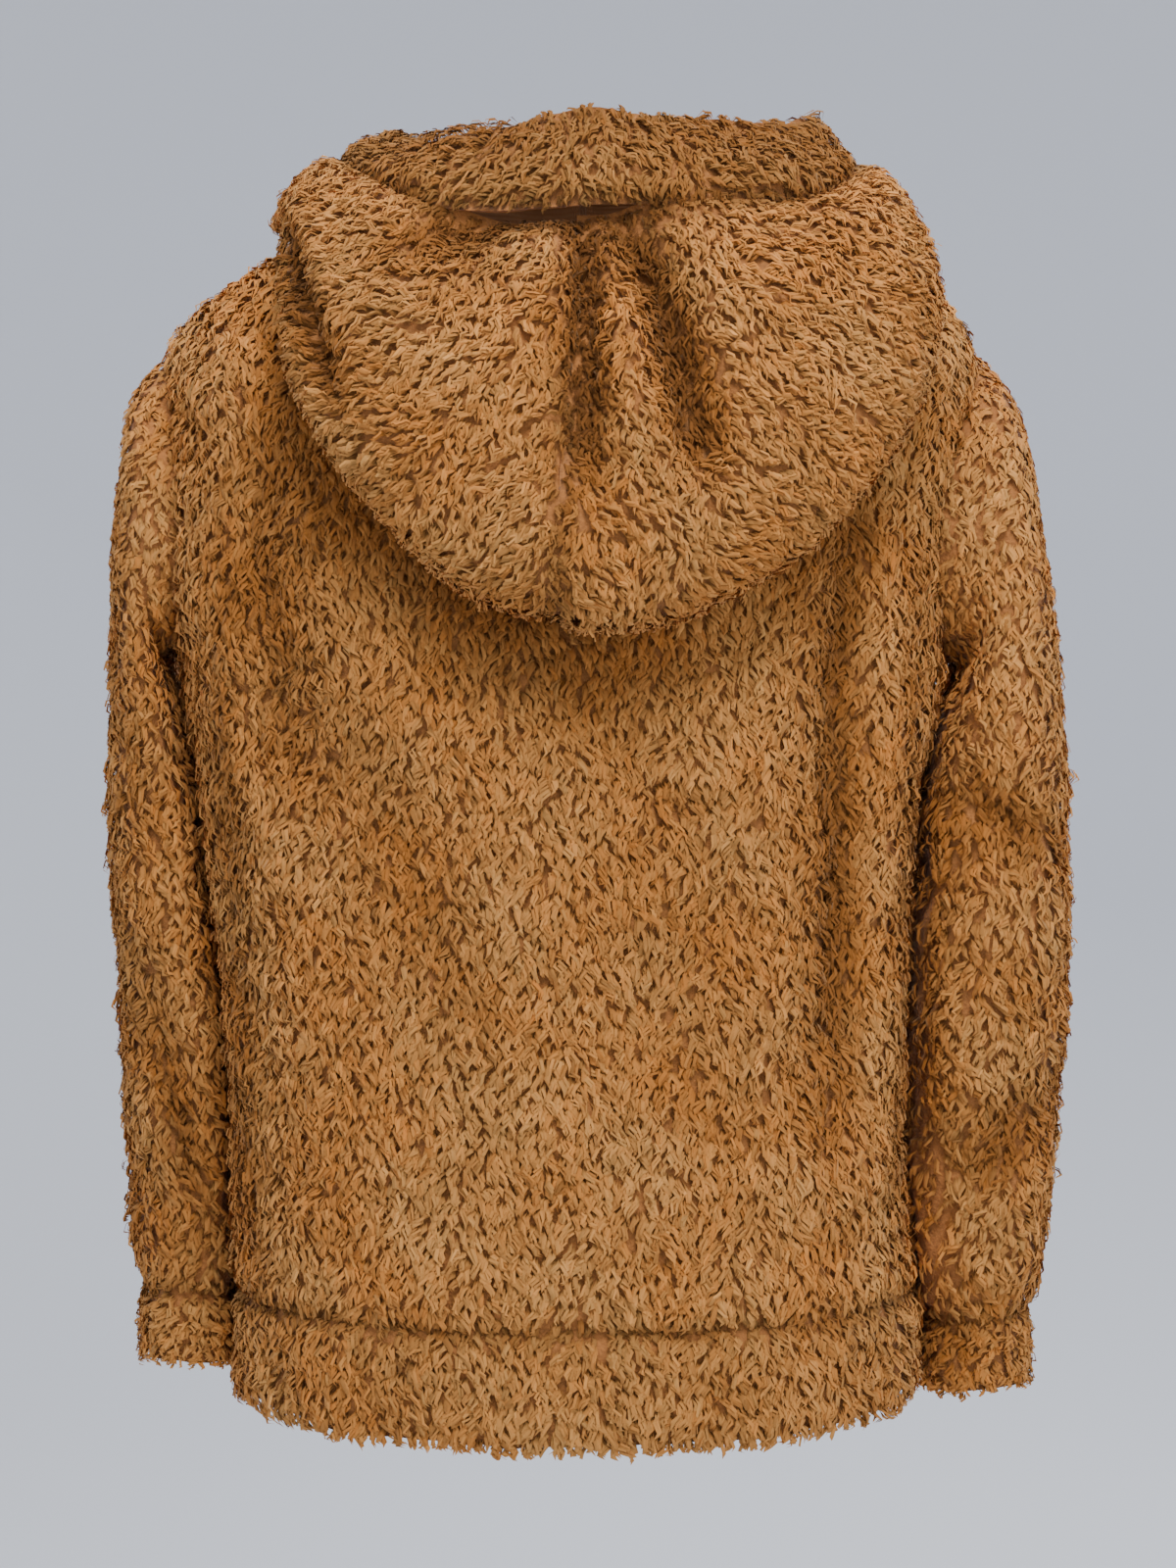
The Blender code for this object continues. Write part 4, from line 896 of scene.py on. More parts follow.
# At a ribbon's six corners: how far its shading leans forward and to the sides, and how light it is.
CORNER_BEND = np.array([0.0, -0.35, -0.35, 0.20, 0.20, 0.60])
CORNER_ROUND = np.array([0.0, -0.22, 0.22, -0.22, 0.22, 0.0])
# Painted shade: each ribbon's colour is darker towards its root, where the locks shade each other.
CORNER_SHADE = np.array([0.60, 0.88, 0.88, 1.0, 1.0, 1.04])
AMBER = np.array([0.53, 0.190, 0.036])
SAND = np.array([0.60, 0.288, 0.082])
DEEP_DENT = 0.010  # a fold as deep as this gets the full painted shade, dark and amber
TRIM_SHARE = 0.16  # of a piece's rows, where its pile is cut shorter towards the open edge


def lock_places(cloth, number, rng, thin):
    """Lock roots, spread evenly over the cloth's area: a random place in a cell picked by its area."""
    rows, count = cloth.surface.shape[:2]
    values = np.concatenate(
        [cloth.surface, cloth.normals, cloth.down]
        + [values[..., None] for values in (cloth.share, cloth.dent, cloth.edge, cloth.row)],
        axis=-1,
    )
    flat = values.reshape(rows * count, -1)
    faces, _ = cells(rows, count, cloth.tube)
    corner = cloth.surface.reshape(-1, 3)[faces]
    area = 0.5 * np.linalg.norm(np.cross(corner[:, 2] - corner[:, 0], corner[:, 3] - corner[:, 1]), axis=1)
    weight = area * thin(corner.mean(axis=1), cloth.row.ravel()[faces[:, 0]])
    total = np.cumsum(weight)
    pick = np.searchsorted(total, (np.arange(number) + rng.random(number)) / number * total[-1])
    chosen = faces[np.minimum(pick, len(faces) - 1)]
    s, t = rng.random((2, number, 1))
    mixed = (
        flat[chosen[:, 0]] * (1 - s) * (1 - t)
        + flat[chosen[:, 1]] * s * (1 - t)
        + flat[chosen[:, 2]] * s * t
        + flat[chosen[:, 3]] * (1 - s) * t
    )
    return mixed, float(weight.sum())


def nap(places, normals, down, swirl, lean):
    """The way the locks lie: down the garment, turned by a smooth field and a little at random."""
    fall = np.array([0.0, 0.0, -1.0]) + lean(places)
    flat = fall - normals * (fall * normals).sum(axis=1, keepdims=True)
    weak = np.clip(1 - np.linalg.norm(flat, axis=1, keepdims=True) * 1.6, 0, 1)
    along = unit(flat + weak * down * 0.8)
    along = unit(along - normals * (along * normals).sum(axis=1, keepdims=True))
    across = np.cross(normals, along)
    turn = swirl * (waves(places, 0.034, 11) + 0.8 * waves(places, 0.011, 12))
    return along * np.cos(turn)[:, None] + across * np.sin(turn)[:, None]


def pile(
    cloth, wool, per_metre, seed, length=0.0112, swirl=0.55, thin=None, lean=None, gain=1.0, trim=0.0, fine=1
):
    """The pile as curly locks of ribbons, so many ribbons to a square metre.

    A lock is three ribbons that leave the backing side by side and close up at their tips. A ribbon is a
    spindle of four triangles along root + nap x length + normal x height + side x wave, where the height
    rises to the pile's depth and falls at the tip, and the wave swings to one side and back.
    """
    rng = np.random.default_rng(seed)
    thin = thin or (lambda places, row: np.ones(len(places)))
    lean = lean or (lambda places: np.zeros_like(places))
    _, area = lock_places(cloth, 1, rng, thin)
    number = int(area * per_metre / LOCK_RIBBONS)
    mixed, _ = lock_places(cloth, number, rng, thin)
    places, normals, down = mixed[:, :3], unit(mixed[:, 3:6]), unit(mixed[:, 6:9])
    share, dent, edge = mixed[:, 9], mixed[:, 10], mixed[:, 11]
    rows = cloth.row.max()
    trimmed = trim * np.exp(-(((rows - mixed[:, 12]) / rows / TRIM_SHARE) ** 2))
    along = nap(places, normals, down, swirl, lean)
    across = np.cross(normals, along)

    tuft = rng.normal(size=number)
    long = length * (1 + 0.16 * rng.normal(size=number)) * (1 - 0.35 * edge) * (0.8 + 0.2 * share)
    long *= 1 - 0.5 * trimmed
    tall = TALL * (0.4 + 0.6 * share) * (1.02 + 0.16 * rng.normal(size=number)) * (1 - 0.45 * edge)
    tall *= 1 + 0.16 * waves(places, 0.009, 21)
    tall = np.where(rng.random(number) < 0.03, tall * 1.35, tall)
    wave = CURL * fine * rng.choice((-1.0, 1.0), number) * (0.6 + 0.8 * rng.random(number))
    # Brightness of each lock: uneven at random, then darkened by painted shade.
    tone_and_shade = 1 + 0.07 * rng.normal(size=number)
    tone_and_shade = tone_and_shade + 0.08 * waves(places, 0.012, 31) + 0.05 * waves(places, 0.060, 32)
    # Painted shade: darker deep in a fold, along a sewn edge and along the SHADES paths.
    deep = np.clip(dent / DEEP_DENT, 0, 1)
    shaded = crease_depth(places, normals, SHADES.get(cloth.name, ()))
    dark = (1 - 0.50 * deep - 0.50 * np.clip(edge, 0, 1)) * (1 - np.clip(shaded, 0, 0.6))
    tone_and_shade *= np.maximum(dark, 0.30) * gain
    # Amber share: uneven at random, and more amber in the painted shade of folds and SHADES paths.
    warm = 0.5 + 0.28 * waves(places, 0.075, 33) + 0.14 * rng.normal(size=number) + 0.45 * deep + shaded

    def every(values):
        return np.repeat(values, LOCK_RIBBONS, axis=0)

    count = number * LOCK_RIBBONS
    rank = np.tile(np.arange(LOCK_RIBBONS) - (LOCK_RIBBONS - 1) / 2, number) + 0.25 * rng.normal(size=count)
    spread = rank * LOCK_SPREAD * fine
    ahead = rng.normal(size=count) * LOCK_STAGGER
    long_each = every(long) * (1 + 0.12 * rng.normal(size=count))
    tall_each = every(tall) * (1 + 0.10 * rng.normal(size=count))
    wave_each = every(wave) + 0.0003 * rng.normal(size=count)
    normal, forward, side = every(normals), every(along), every(across)
    root = every(places - normals * (PILE * share)[:, None])
    root = root + side * spread[:, None] + forward * ahead[:, None]
    spine = (
        root[:, None]
        + forward[:, None] * (long_each[:, None] * (RIBBON_AT - 0.12))[..., None]
        + normal[:, None] * (tall_each[:, None] * RIBBON_RISE)[..., None]
        + side[:, None] * (wave_each[:, None] * RIBBON_SWING - spread[:, None] * RIBBON_CLOSE)[..., None]
    )
    tilt = -0.35 * rank + rng.uniform(-0.35, 0.35, count)
    half = unit(side * np.cos(tilt)[:, None] + normal * np.sin(tilt)[:, None])
    half = half * (RIBBON_WIDTH * fine / 2 * (0.75 + 0.5 * rng.random(count)))[:, None]
    base, low, high, tip = (spine[:, k] for k in range(4))
    narrow = half * TIP_WIDTH
    points = np.stack([base, low - half, low + half, high - narrow, high + narrow, tip], axis=1)
    looks = unit(
        normal[:, None]
        + forward[:, None] * CORNER_BEND[:, None]
        + side[:, None] * (CORNER_ROUND + 0.45 * rank[:, None])[..., None]
        + 0.16 * every(np.stack([tuft, rng.normal(size=number), rng.normal(size=number)], axis=1))[:, None]
    )
    mix = np.clip(every(warm) + 0.06 * rng.normal(size=count), 0, 1)[:, None]
    tone = (AMBER * mix + SAND * (1 - mix)) * (every(tone_and_shade) * (1 + 0.05 * rng.normal(size=count)))[:, None]
    tone = np.clip(tone[:, None] * CORNER_SHADE[:, None], 0.01, 1)
    tone = np.concatenate([tone, np.ones((count, 6, 1))], axis=-1)

    parts = []
    pieces = math.ceil(count / PIECE_RIBBONS)
    for k in range(pieces):
        first, last = (count * n // pieces // LOCK_RIBBONS * LOCK_RIBBONS for n in (k, k + 1))
        name = f"pile_{cloth.name}" + (f"_{k + 1}" if pieces > 1 else "")
        part = make_mesh(name, points[first:last].reshape(-1, 3), copies(RIBBON_FACES, last - first), [wool])
        colours = part.data.color_attributes.new("pile", "BYTE_COLOR", "POINT")
        colours.data.foreach_set("color", tone[first:last].astype(np.float32).ravel())
        part.data.normals_split_custom_set_from_vertices(looks[first:last].reshape(-1, 3).tolist())
        parts.append(part)
    return parts


# ------------------------------------------------------------------------------------------- materials


def node(tree, kind, at=(0, 0), **values):
    """A new node at a place in the tree, with its settings."""
    made = tree.nodes.new(kind)
    made.location = at
    for name, value in values.items():
        setattr(made, name, value)
    return made


def group(name, inputs, outputs):
    """An empty node group. Its inputs are given as (name, type, default), its outputs as (name, type)."""
    tree = bpy.data.node_groups.new(name, "ShaderNodeTree")
    for label, kind, default in inputs:
        socket = tree.interface.new_socket(label, in_out="INPUT", socket_type=kind)
        socket.default_value = default
    for label, kind in outputs:
        tree.interface.new_socket(label, in_out="OUTPUT", socket_type=kind)
    return tree, node(tree, "NodeGroupInput", (-900, 0)), node(tree, "NodeGroupOutput", (700, 0))


def maths(tree, operation, at, *sources):
    """A Math node's output. Each source is a socket or a plain number."""
    made = node(tree, "ShaderNodeMath", at, operation=operation)
    for socket, source in zip(made.inputs, sources):
        if isinstance(source, float):
            socket.default_value = source
        else:
            tree.links.new(source, socket)
    return made.outputs[0]


def wool_tone_group():
    """Uneven colour of wool: the given colour, darker and lighter in small and in large patches."""
    tree, inside, out = group(
        "wool_tone",
        (
            ("Color", "NodeSocketColor", (0.5, 0.3, 0.1, 1)),
            ("Amount", "NodeSocketFloat", 0.2),
            ("Scale", "NodeSocketFloat", 300.0),
        ),
        (("Color", "NodeSocketColor"), ("Height", "NodeSocketFloat")),
    )
    place = node(tree, "ShaderNodeTexCoord", (-900, -300))
    fine = node(tree, "ShaderNodeTexNoise", (-600, -100), noise_dimensions="3D")
    broad = node(tree, "ShaderNodeTexNoise", (-600, -400), noise_dimensions="3D")
    broad.inputs["Scale"].default_value = 9
    fine.inputs["Detail"].default_value = 3
    links = tree.links
    links.new(place.outputs["Object"], fine.inputs["Vector"])
    links.new(place.outputs["Object"], broad.inputs["Vector"])
    links.new(inside.outputs["Scale"], fine.inputs["Scale"])
    both = maths(tree, "ADD", (-350, -200), fine.outputs["Fac"], broad.outputs["Fac"])
    centred = maths(tree, "SUBTRACT", (-180, -200), both, 1.0)
    scaled = maths(tree, "MULTIPLY_ADD", (0, -200), centred, inside.outputs["Amount"], 1.0)
    shaded = node(tree, "ShaderNodeVectorMath", (250, 0), operation="SCALE")
    links.new(inside.outputs["Color"], shaded.inputs[0])
    links.new(scaled, shaded.inputs["Scale"])
    links.new(shaded.outputs[0], out.inputs["Color"])
    links.new(fine.outputs["Fac"], out.inputs["Height"])
    return tree


def rib_group():
    """Rows of a knit or a woven twill: two crossed waves, by the coordinates and the spacing given."""
    tree, inside, out = group(
        "cloth_ribs",
        (
            ("Vector", "NodeSocketVector", (0, 0, 0)),
            ("Across", "NodeSocketFloat", 500.0),
            ("Along", "NodeSocketFloat", 700.0),
            ("Slant", "NodeSocketFloat", 0.5),
        ),
        (("Height", "NodeSocketFloat"),),
    )
    split = node(tree, "ShaderNodeSeparateXYZ", (-700, 0))
    tree.links.new(inside.outputs["Vector"], split.inputs[0])
    across = maths(tree, "MULTIPLY", (-500, 150), split.outputs[0], inside.outputs["Across"])
    along = maths(tree, "MULTIPLY", (-500, -50), split.outputs[1], inside.outputs["Along"])
    level = maths(tree, "ABSOLUTE", (-300, -50), maths(tree, "SINE", (-300, 150), across))
    leaning = maths(tree, "MULTIPLY", (-150, -50), level, inside.outputs["Slant"])
    shifted = maths(tree, "ADD", (0, -50), along, leaning)
    stitch = maths(tree, "SINE", (150, -50), shifted)
    height = maths(tree, "MULTIPLY_ADD", (300, -50), stitch, 0.4, level)
    tree.links.new(height, out.inputs["Height"])
    return tree


def finish(name, roughness, sheen=0.0, metallic=0.0, sheen_tint=(1, 1, 1)):
    """A material, its node tree and its shader with the plain values set."""
    made = bpy.data.materials.new(name)
    made.use_nodes = True
    shader = made.node_tree.nodes["Principled BSDF"]
    shader.inputs["Roughness"].default_value = roughness
    shader.inputs["Metallic"].default_value = metallic
    shader.inputs["Sheen Weight"].default_value = sheen
    shader.inputs["Sheen Roughness"].default_value = 0.5
    shader.inputs["Sheen Tint"].default_value = (*sheen_tint, 1)
    return made, made.node_tree, shader


def bump(tree, shader, height, strength, distance):
    """Relief on a finish from a height."""
    made = node(tree, "ShaderNodeBump", (-200, -300))
    made.inputs["Strength"].default_value = strength
    made.inputs["Distance"].default_value = distance
    tree.links.new(height, made.inputs["Height"])
    tree.links.new(made.outputs[0], shader.inputs["Normal"])


def tone_node(tree, shader, tone, amount, scale, colour=None, source=None):
    """The uneven colour on a finish, from one colour or from a socket."""
    made = node(tree, "ShaderNodeGroup", (-450, 100), node_tree=tone)
    made.inputs["Amount"].default_value = amount
    made.inputs["Scale"].default_value = scale
    if colour:
        made.inputs["Color"].default_value = (*colour, 1)
    if source:
        tree.links.new(source, made.inputs["Color"])
    tree.links.new(made.outputs["Color"], shader.inputs["Base Color"])
    return made


def rib_node(tree, ribs, place, across, along, slant):
    """The height of ribs, with their spacing across and along in metres."""
    made = node(tree, "ShaderNodeGroup", (-600, -300), node_tree=ribs)
    made.inputs["Across"].default_value = 2 * math.pi / across
    made.inputs["Along"].default_value = 2 * math.pi / along
    made.inputs["Slant"].default_value = slant
    tree.links.new(place, made.inputs["Vector"])
    return made.outputs["Height"]


def pile_finish(tone):
    """The locks: the colour painted on their corners, painted shade included, a little uneven, with a warm
    sheen.
    """
    made, tree, shader = finish("sherpa_pile", 0.9, sheen=0.14, sheen_tint=(1.0, 0.72, 0.42))
    shader.inputs["Specular IOR Level"].default_value = 0.15
    colour = node(tree, "ShaderNodeVertexColor", (-700, 100), layer_name="pile")
    tone_node(tree, shader, tone, 0.12, 900.0, source=colour.outputs["Color"])
    return made


def backing_finish(tone):
    """The roots between the locks: dark amber wool with a coarse relief."""
    made, tree, shader = finish("sherpa_roots", 0.95, sheen=0.1)
    wool = tone_node(tree, shader, tone, 0.8, 420.0, colour=(0.400, 0.152, 0.038))
    bump(tree, shader, wool.outputs["Height"], 0.8, 0.0015)
    return made


def knit_finish(tone, ribs):
    """The inside: a knit with ribs 2.4 mm apart that run down the cloth."""
    made, tree, shader = finish("knit_backing", 0.88, sheen=0.06, sheen_tint=(1.0, 0.8, 0.6))
    tone_node(tree, shader, tone, 0.25, 260.0, colour=(0.27, 0.112, 0.032))
    place = node(tree, "ShaderNodeUVMap", (-900, -300), uv_map="cloth")
    height = rib_node(tree, ribs, place.outputs[0], 0.0024, 0.0018, 2.2)
    bump(tree, shader, height, 0.6, 0.0005)
    return made


def tape_finish(tone, ribs):
    """The zip's tape and threads: a twill, on coordinates turned so that it runs up the tape."""
    made, tree, shader = finish("zip_tape_twill", 0.8, sheen=0.04)
    tone_node(tree, shader, tone, 0.2, 500.0, colour=(0.27, 0.105, 0.026))
    place = node(tree, "ShaderNodeTexCoord", (-1100, -300))
    turned = node(tree, "ShaderNodeMapping", (-900, -300))
    turned.inputs["Rotation"].default_value = (math.radians(90), 0, 0)
    tree.links.new(place.outputs["Object"], turned.inputs["Vector"])
    height = rib_node(tree, ribs, turned.outputs[0], 0.0022, 0.0008, 3.0)
    bump(tree, shader, height, 0.7, 0.0003)
    return made


def metal_finish(tone):
    """Antique brass, duller where it is worn."""
    made, tree, shader = finish("antique_brass", 0.34, metallic=1.0)
    wear = tone_node(tree, shader, tone, 0.5, 1500.0, colour=(0.47, 0.32, 0.15))
    dull = maths(tree, "MULTIPLY_ADD", (-200, -50), wear.outputs["Height"], 0.3, 0.2)
    tree.links.new(dull, shader.inputs["Roughness"])
    bump(tree, shader, wear.outputs["Height"], 0.15, 0.0001)
    return made


# ------------------------------------------------------------------------------------------------- zip

CHAIN_START = SLIDER_DOWN + 0.0065  # the first tooth under the slider
CHAIN_END = HEM_EDGE - 0.016
TAPE_START = 0.004
TAPE_END = HEM_EDGE - 0.006
CORD_START = SLIDER_DOWN + 0.004
CORD_PITCH = 0.0040  # between the cord's rings
CORD_MIDDLE = 0.0024
CORD_RADII = (0.0012, 0.00085)  # across and out of the tape
STITCH_PITCH = 0.0030
STITCH_HALF = 0.0011  # of its length
STITCH_PLACE = (0.0064, 0.0007)  # across and out of the tape
STITCH_RADII = (0.00022, 0.00018)
TOOTH_PITCH = 0.0027
TOOTH = np.array(  # outline across and along the chain, from its root to its head beyond the middle
    [(0.0032, -0.00068), (0.0032, 0.00068), (0.0013, 0.00060), (0.0004, 0.00042),
     (-0.0010, 0.00058), (-0.0010, -0.00058), (0.0004, -0.00042), (0.0013, -0.00060)]
)


def placed(frames, local):
    """Points given across, out of and up the chain, at each of its frames."""
    place, across, normal, upward = frames
    x, y, z = (local[:, k][None, :, None] for k in range(3))
    return place[:, None] + across * x + normal[:, None] * y + upward[:, None] * z


def zip_teeth(side, metal):
    """A row of teeth: an eight-sided outline with a waist, extruded through the chain's thickness."""
    word = SIDE_WORD[side]
    start = CHAIN_START + (TOOTH_PITCH / 2 if side < 0 else 0)
    frames = chain_frame(np.arange(start, CHAIN_END, TOOTH_PITCH))
    low = np.stack([TOOTH[:, 0] * side, np.full(8, -CHAIN_THICK / 2), TOOTH[:, 1]], axis=1)
    high = low * np.array([1, -1, 1])
    points = placed(frames, np.concatenate([low, high]))
    cap = np.array([(0, 1, 2, 7), (7, 2, 3, 6), (6, 3, 4, 5)])
    shape = np.concatenate([cap, cap[:, ::-1] + 8, prism_walls(8)[:, ::-1]])
    if side > 0:
        shape = shape[:, ::-1]
    faces = copies(shape, len(points))
    teeth = make_mesh(f"zip_teeth_{word}", points.reshape(-1, 3), faces, [metal])
    teeth.data.shade_flat()
    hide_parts(f"zip_chain_{word}")
    return teeth


def zip_cord(side, thread):
    """The corded inner edge of the tape, which the teeth clamp on: an eight-sided tube."""
    word = SIDE_WORD[side]
    frames = chain_frame(np.arange(CORD_START, TAPE_END, CORD_PITCH))
    ring = np.radians(np.arange(0, 360, 45))
    across = side * (CORD_MIDDLE + CORD_RADII[0] * np.cos(ring))
    local = np.stack([across, CORD_RADII[1] * np.sin(ring), np.zeros(8)], axis=1)
    points = placed(frames, local)
    faces, _ = cells(len(points), 8, True)
    ends = np.array([(0, 1, 2, 3), (0, 3, 4, 7), (7, 4, 5, 6)])
    faces = np.concatenate([faces, ends, ends[:, ::-1] + 8 * (len(points) - 1)])
    if side < 0:
        faces = faces[:, ::-1]
    return make_mesh(f"zip_cord_{word}", points.reshape(-1, 3), faces, [thread])


def tape_stitches(side, thread):
    """Short stitches down the tape: bars 2.2 mm long, one every 3 mm."""
    word = SIDE_WORD[side]
    frames = chain_frame(np.arange(TAPE_START, TAPE_END, STITCH_PITCH))
    ring = np.radians(np.arange(0, 360, 60))
    across = side * STITCH_PLACE[0] + STITCH_RADII[0] * np.cos(ring)
    outward = STITCH_PLACE[1] + STITCH_RADII[1] * np.sin(ring)
    local = [np.stack([across, outward, np.full(6, z)], axis=1) for z in (-STITCH_HALF, STITCH_HALF)]
    points = placed(frames, np.concatenate(local))
    caps = np.array([(3, 2, 1, 0), (5, 4, 3, 0), (6, 7, 8, 9), (6, 9, 10, 11)])
    faces = copies(np.concatenate([prism_walls(6), caps]), len(points))
    return make_mesh(f"tape_stitches_{word}", points.reshape(-1, 3), faces, [thread])


def softened(name, finish_used, width, frame):
    """A metal piece with its edges rounded: a merged copy of the node with a bevel on its sharp edges."""
    mesh = frame["nodes"][name].data.copy()
    work = bmesh.new()
    work.from_mesh(mesh)
    bmesh.ops.remove_doubles(work, verts=work.verts, dist=0.00001)
    bmesh.ops.dissolve_limit(work, angle_limit=math.radians(2), verts=work.verts, edges=work.edges)
    work.to_mesh(mesh)
    work.free()
    mesh.materials.clear()
    mesh.materials.append(finish_used)
    piece = bpy.data.objects.new(f"{name}_soft", mesh)
    bpy.context.scene.collection.objects.link(piece)
    edge = piece.modifiers.new("edges", "BEVEL")
    edge.width = width
    edge.segments = 2
    edge.limit_method = "ANGLE"
    edge.angle_limit = math.radians(35)
    mesh.shade_smooth()
    mesh.set_sharp_from_angle(angle=math.radians(50))
    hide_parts(name)
    return piece


# ----------------------------------------------------------------------------------------------- scene


def hood_thickness(angle):
    """Share of the cloth's thickness by the angle of the neckline: less at the sides, in tight turns."""
    return np.interp(np.abs(angle), (60, 85, 97, 150), (1.0, 0.60, 0.42, 0.5))


def sleeve(side):
    """A sleeve, pressed flat at its cap, and its cuff."""
    word = SIDE_WORD[side]
    sections = (0.0, *SLEEVE_ROWS, CUFF_SEAM)
    pressed = np.interp(sections, (0, 3, 5), (0.32, 0.38, 1.0))[:, None]
    return [
        Cloth(f"sleeve_{word}", sleeve_rings(side, sections), -side, True, SLEEVE_FOLDS, pressed),
        Cloth(f"cuff_{word}", sleeve_rings(side, CUFF_ROWS), -side, True),
    ]


def cloth_pieces():
    """All the cloth of the garment, from the back to the hood's band."""
    angle = hood_angles()
    left, right = (hood_thickness(angle[angle * side >= -1e-9]) for side in (-1, 1))
    return [
        Cloth("back", back_panel(), folds=FOLDS),
        Cloth("front_left", front_panel(-1), -1, folds=FOLDS),
        Cloth("front_right", front_panel(1), folds=FOLDS),
        Cloth("hem_band", hem_band()),
        *sleeve(-1),
        *sleeve(1),
        Cloth("hood_left", hood_half(-1), -1, folds=HOOD_FOLDS, thickness=left, rows=HOOD_ROWS),
        Cloth("hood_right", hood_half(1), -1, folds=HOOD_FOLDS, thickness=right, rows=HOOD_ROWS),
        Cloth("hood_band", hood_band(), -1, thickness=hood_thickness(angle)),
    ]


COVERED = 0.12  # share of the locks left where cloth covers them
TOUCHED = 0.35  # and where it only touches them


def under_hood(places, row):
    """Fewer locks on the back where the hood covers it."""
    x, _, z = places.T
    inside = ((x - 0.006) / 0.120) ** 2 + ((z + 0.02) / 0.185) ** 2 < 1
    return np.where(inside, COVERED, 1.0)


def sleeve_beside(places, row):
    """Fewer locks where the sleeve lies against the body."""
    x, y, z = places.T
    against = (np.abs(x) < 0.213) & (np.abs(y - 0.01) < 0.042) & (z < -0.24)
    return np.where(against, TOUCHED, 1.0)


def hood_outside(places, row):
    """Fewer locks where the hood lies on the back."""
    hidden = (row > 4.7) & (row < 7.1) & (places[:, 1] < -0.05) & (places[:, 2] < -0.03)
    return np.where(hidden, COVERED, 1.0)


def hood_lean(places):
    """The hood's pile leans outwards from its middle, more so towards its sides."""
    aside = 1.3 * np.tanh((places[:, 0] - 0.005) / 0.11)
    return np.stack([aside, np.zeros(len(places)), 0.30 * np.abs(aside)], axis=1)


PAPER_PROFILE = ((0.0, -1.25), (2.2, -1.25), (3.0, -1.15), (3.5, -0.8), (3.75, -0.2), (3.85, 0.6), (3.9, 2.4))
PAPER_RINGS, PAPER_SIDES = 49, 72
GARMENT_MIDDLE = (0, 0, -0.33)
FRAME_WIDTH = 36.0  # mm
FOCAL_PIXELS = 2956.5  # in a frame 1600 pixels high
FRAME_PIXELS = 1600
CAMERA_PLACE = (0.0017, -1.7, -0.3387)


def light(name, place, size, power, colour=(1, 1, 1)):
    """A square lamp that faces the garment's middle."""
    lamp = bpy.data.lights.new(name, "AREA")
    lamp.size = size
    lamp.energy = power
    lamp.color = colour
    thing = bpy.data.objects.new(name, lamp)
    thing.location = place
    thing.rotation_euler = (Vector(GARMENT_MIDDLE) - Vector(place)).to_track_quat("-Z", "Y").to_euler()
    bpy.context.scene.collection.objects.link(thing)


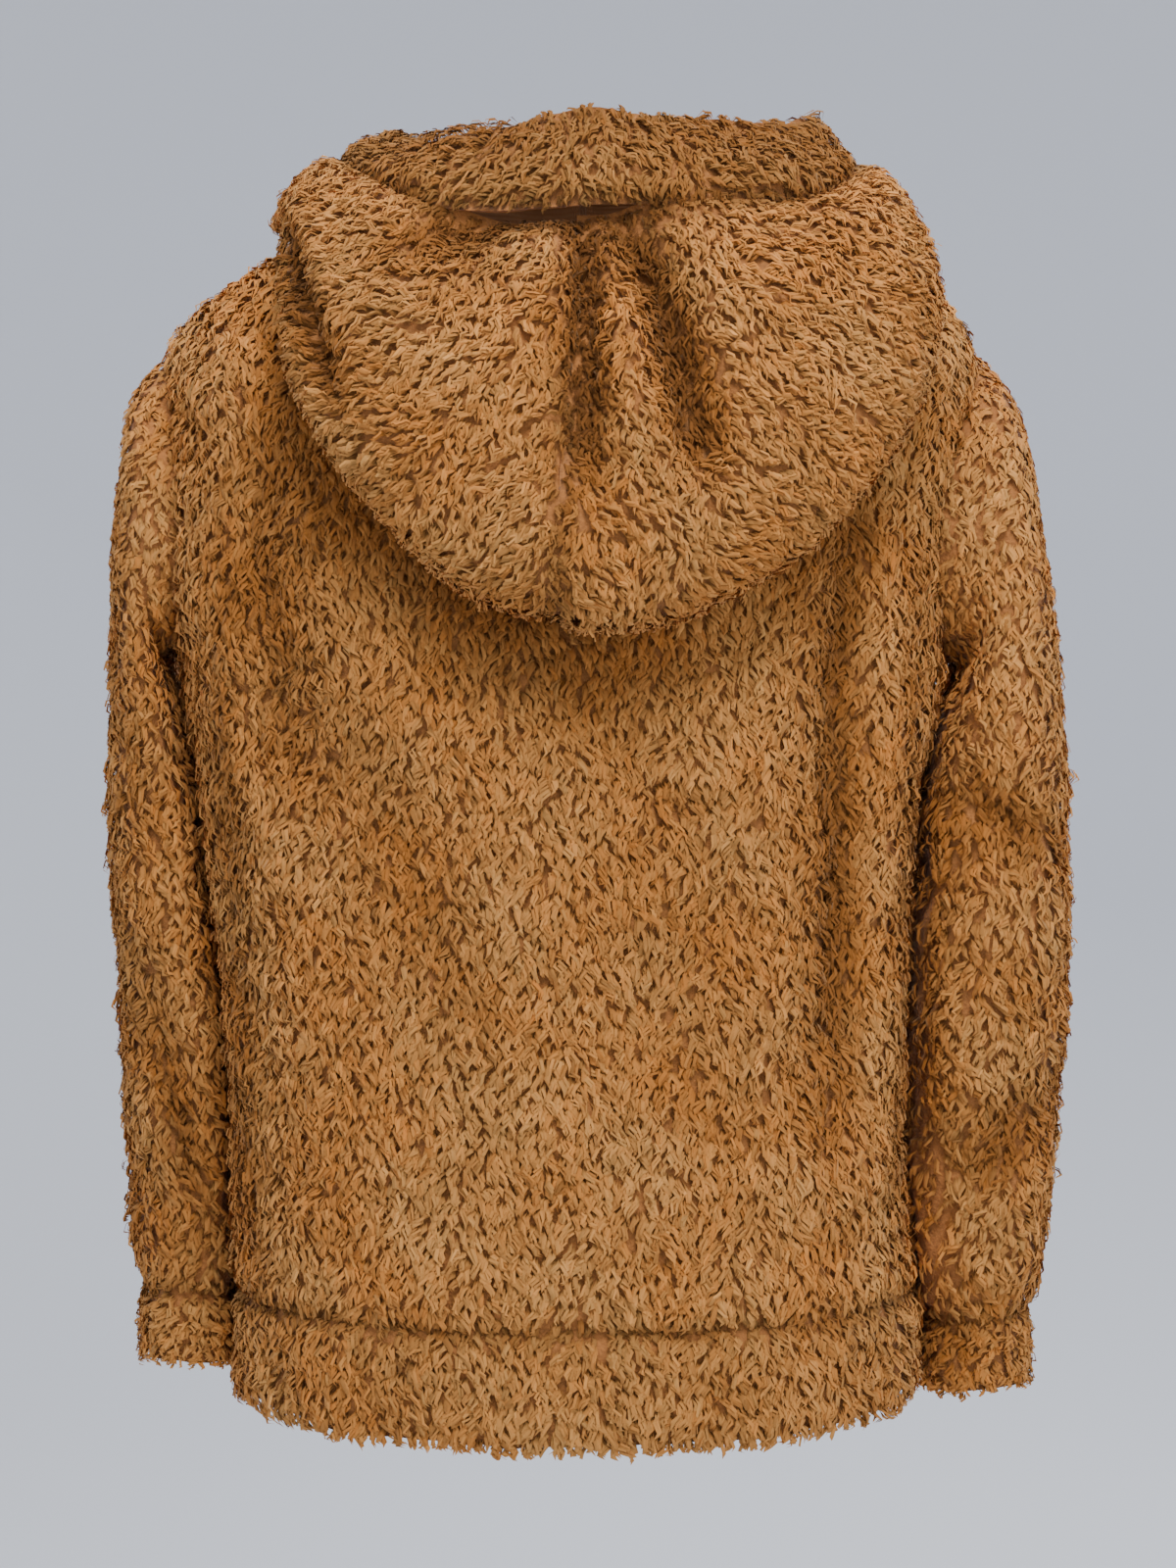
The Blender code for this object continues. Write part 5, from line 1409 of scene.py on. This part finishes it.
def studio():
    """A pale round studio: a floor that curves up into a wall, soft lamps and the camera."""
    profile = np.array(PAPER_PROFILE)
    knots = np.arange(len(profile), dtype=float)
    profile = spline(profile, knots, np.linspace(0, knots[-1], PAPER_RINGS))
    turn = np.radians(np.arange(0, 360, 360 / PAPER_SIDES))
    ring = np.stack([np.cos(turn), np.sin(turn)], axis=1)
    height = np.broadcast_to(profile[:, None, 1:], (PAPER_RINGS, PAPER_SIDES, 1))
    points = np.concatenate([profile[:, None, :1] * ring[None], height], axis=-1)
    faces, _ = cells(PAPER_RINGS, PAPER_SIDES, True)
    made, tree, shader = finish("studio_paper", 1.0)
    shader.inputs["Base Color"].default_value = (0.50, 0.52, 0.565, 1)
    shader.inputs["Emission Color"].default_value = (0.80, 0.84, 0.93, 1)
    shader.inputs["Emission Strength"].default_value = 0.205
    floor = make_mesh("studio_floor", points.reshape(-1, 3), faces[:, ::-1], [made])

    world = bpy.data.worlds.new("sky")
    bpy.context.scene.world = world
    world.use_nodes = True
    world.node_tree.nodes["Background"].inputs["Color"].default_value = (0.86, 0.90, 1.0, 1)
    world.node_tree.nodes["Background"].inputs["Strength"].default_value = 0.5
    light("key", (0.25, -1.80, 2.0), 1.0, 82, (1.0, 0.97, 0.93))
    light("fill", (1.5, -2.3, 0.3), 1.4, 12)
    light("front", (0.8, 2.5, 1.2), 1.4, 55, (1.0, 0.98, 0.95))
    light("top", (0.0, 0.2, 2.2), 1.6, 30)

    lens = bpy.data.cameras.new("camera")
    lens.sensor_width = FRAME_WIDTH
    lens.lens = FRAME_WIDTH * FOCAL_PIXELS / FRAME_PIXELS
    lens.clip_start = 0.05
    camera = bpy.data.objects.new("camera", lens)
    camera.location = CAMERA_PLACE
    camera.rotation_euler = (math.radians(90), 0, 0)
    bpy.context.scene.collection.objects.link(camera)
    bpy.context.scene.camera = camera


def main():
    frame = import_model()
    tone, ribs = wool_tone_group(), rib_group()
    wool, roots = pile_finish(tone), backing_finish(tone)
    knit, twill, metal = knit_finish(tone, ribs), tape_finish(tone, ribs), metal_finish(tone)

    hood = dict(per_metre=238000, lean=hood_lean, swirl=0.65, length=0.0098, fine=0.84)
    plans = {
        "back": dict(per_metre=188000, seed=1, thin=under_hood, swirl=0.38),
        "front_left": dict(per_metre=124000, seed=2),
        "front_right": dict(per_metre=124000, seed=3),
        "hem_band": dict(per_metre=188000, seed=4, swirl=0.45, trim=1.0, gain=0.95),
        "sleeve_left": dict(per_metre=150000, seed=5, thin=sleeve_beside),
        "sleeve_right": dict(per_metre=150000, seed=6, thin=sleeve_beside),
        "cuff_left": dict(per_metre=188000, seed=7, length=0.009, trim=1.0),
        "cuff_right": dict(per_metre=188000, seed=8, length=0.009, trim=1.0),
        "hood_left": dict(seed=9, thin=hood_outside, **hood),
        "hood_right": dict(seed=10, thin=hood_outside, **hood),
        # The band's pile is darker all over by its gain: painted shade.
        "hood_band": dict(seed=11, gain=0.70, **hood),
    }
    for cloth in cloth_pieces():
        shell = cloth_shell(cloth, [roots, knit])
        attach(shell, "garment")
        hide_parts(cloth.name)
        parts = pile(cloth, wool, **plans[cloth.name])
        for part in parts:
            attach(part, "garment")

    for side, word in SIDE_WORD.items():
        teeth = zip_teeth(side, metal)
        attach(teeth, "garment")
        for sewn in (tape_stitches(side, twill), zip_cord(side, twill)):
            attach(sewn, "garment")
        tape = frame["nodes"][f"zip_tape_{word}"]
        tape.data.materials.clear()
        tape.data.materials.append(twill)
    for name, body_name, width in (
        ("zip_slider", "garment", 0.00025),
        ("zip_pull", "pull_tab", 0.0003),
        ("zip_stop_left", "garment", 0.0003),
        ("zip_stop_right", "garment", 0.0003),
        ("zip_box", "garment", 0.0004),
    ):
        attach(softened(name, metal, width, frame), body_name)

    studio()


main()
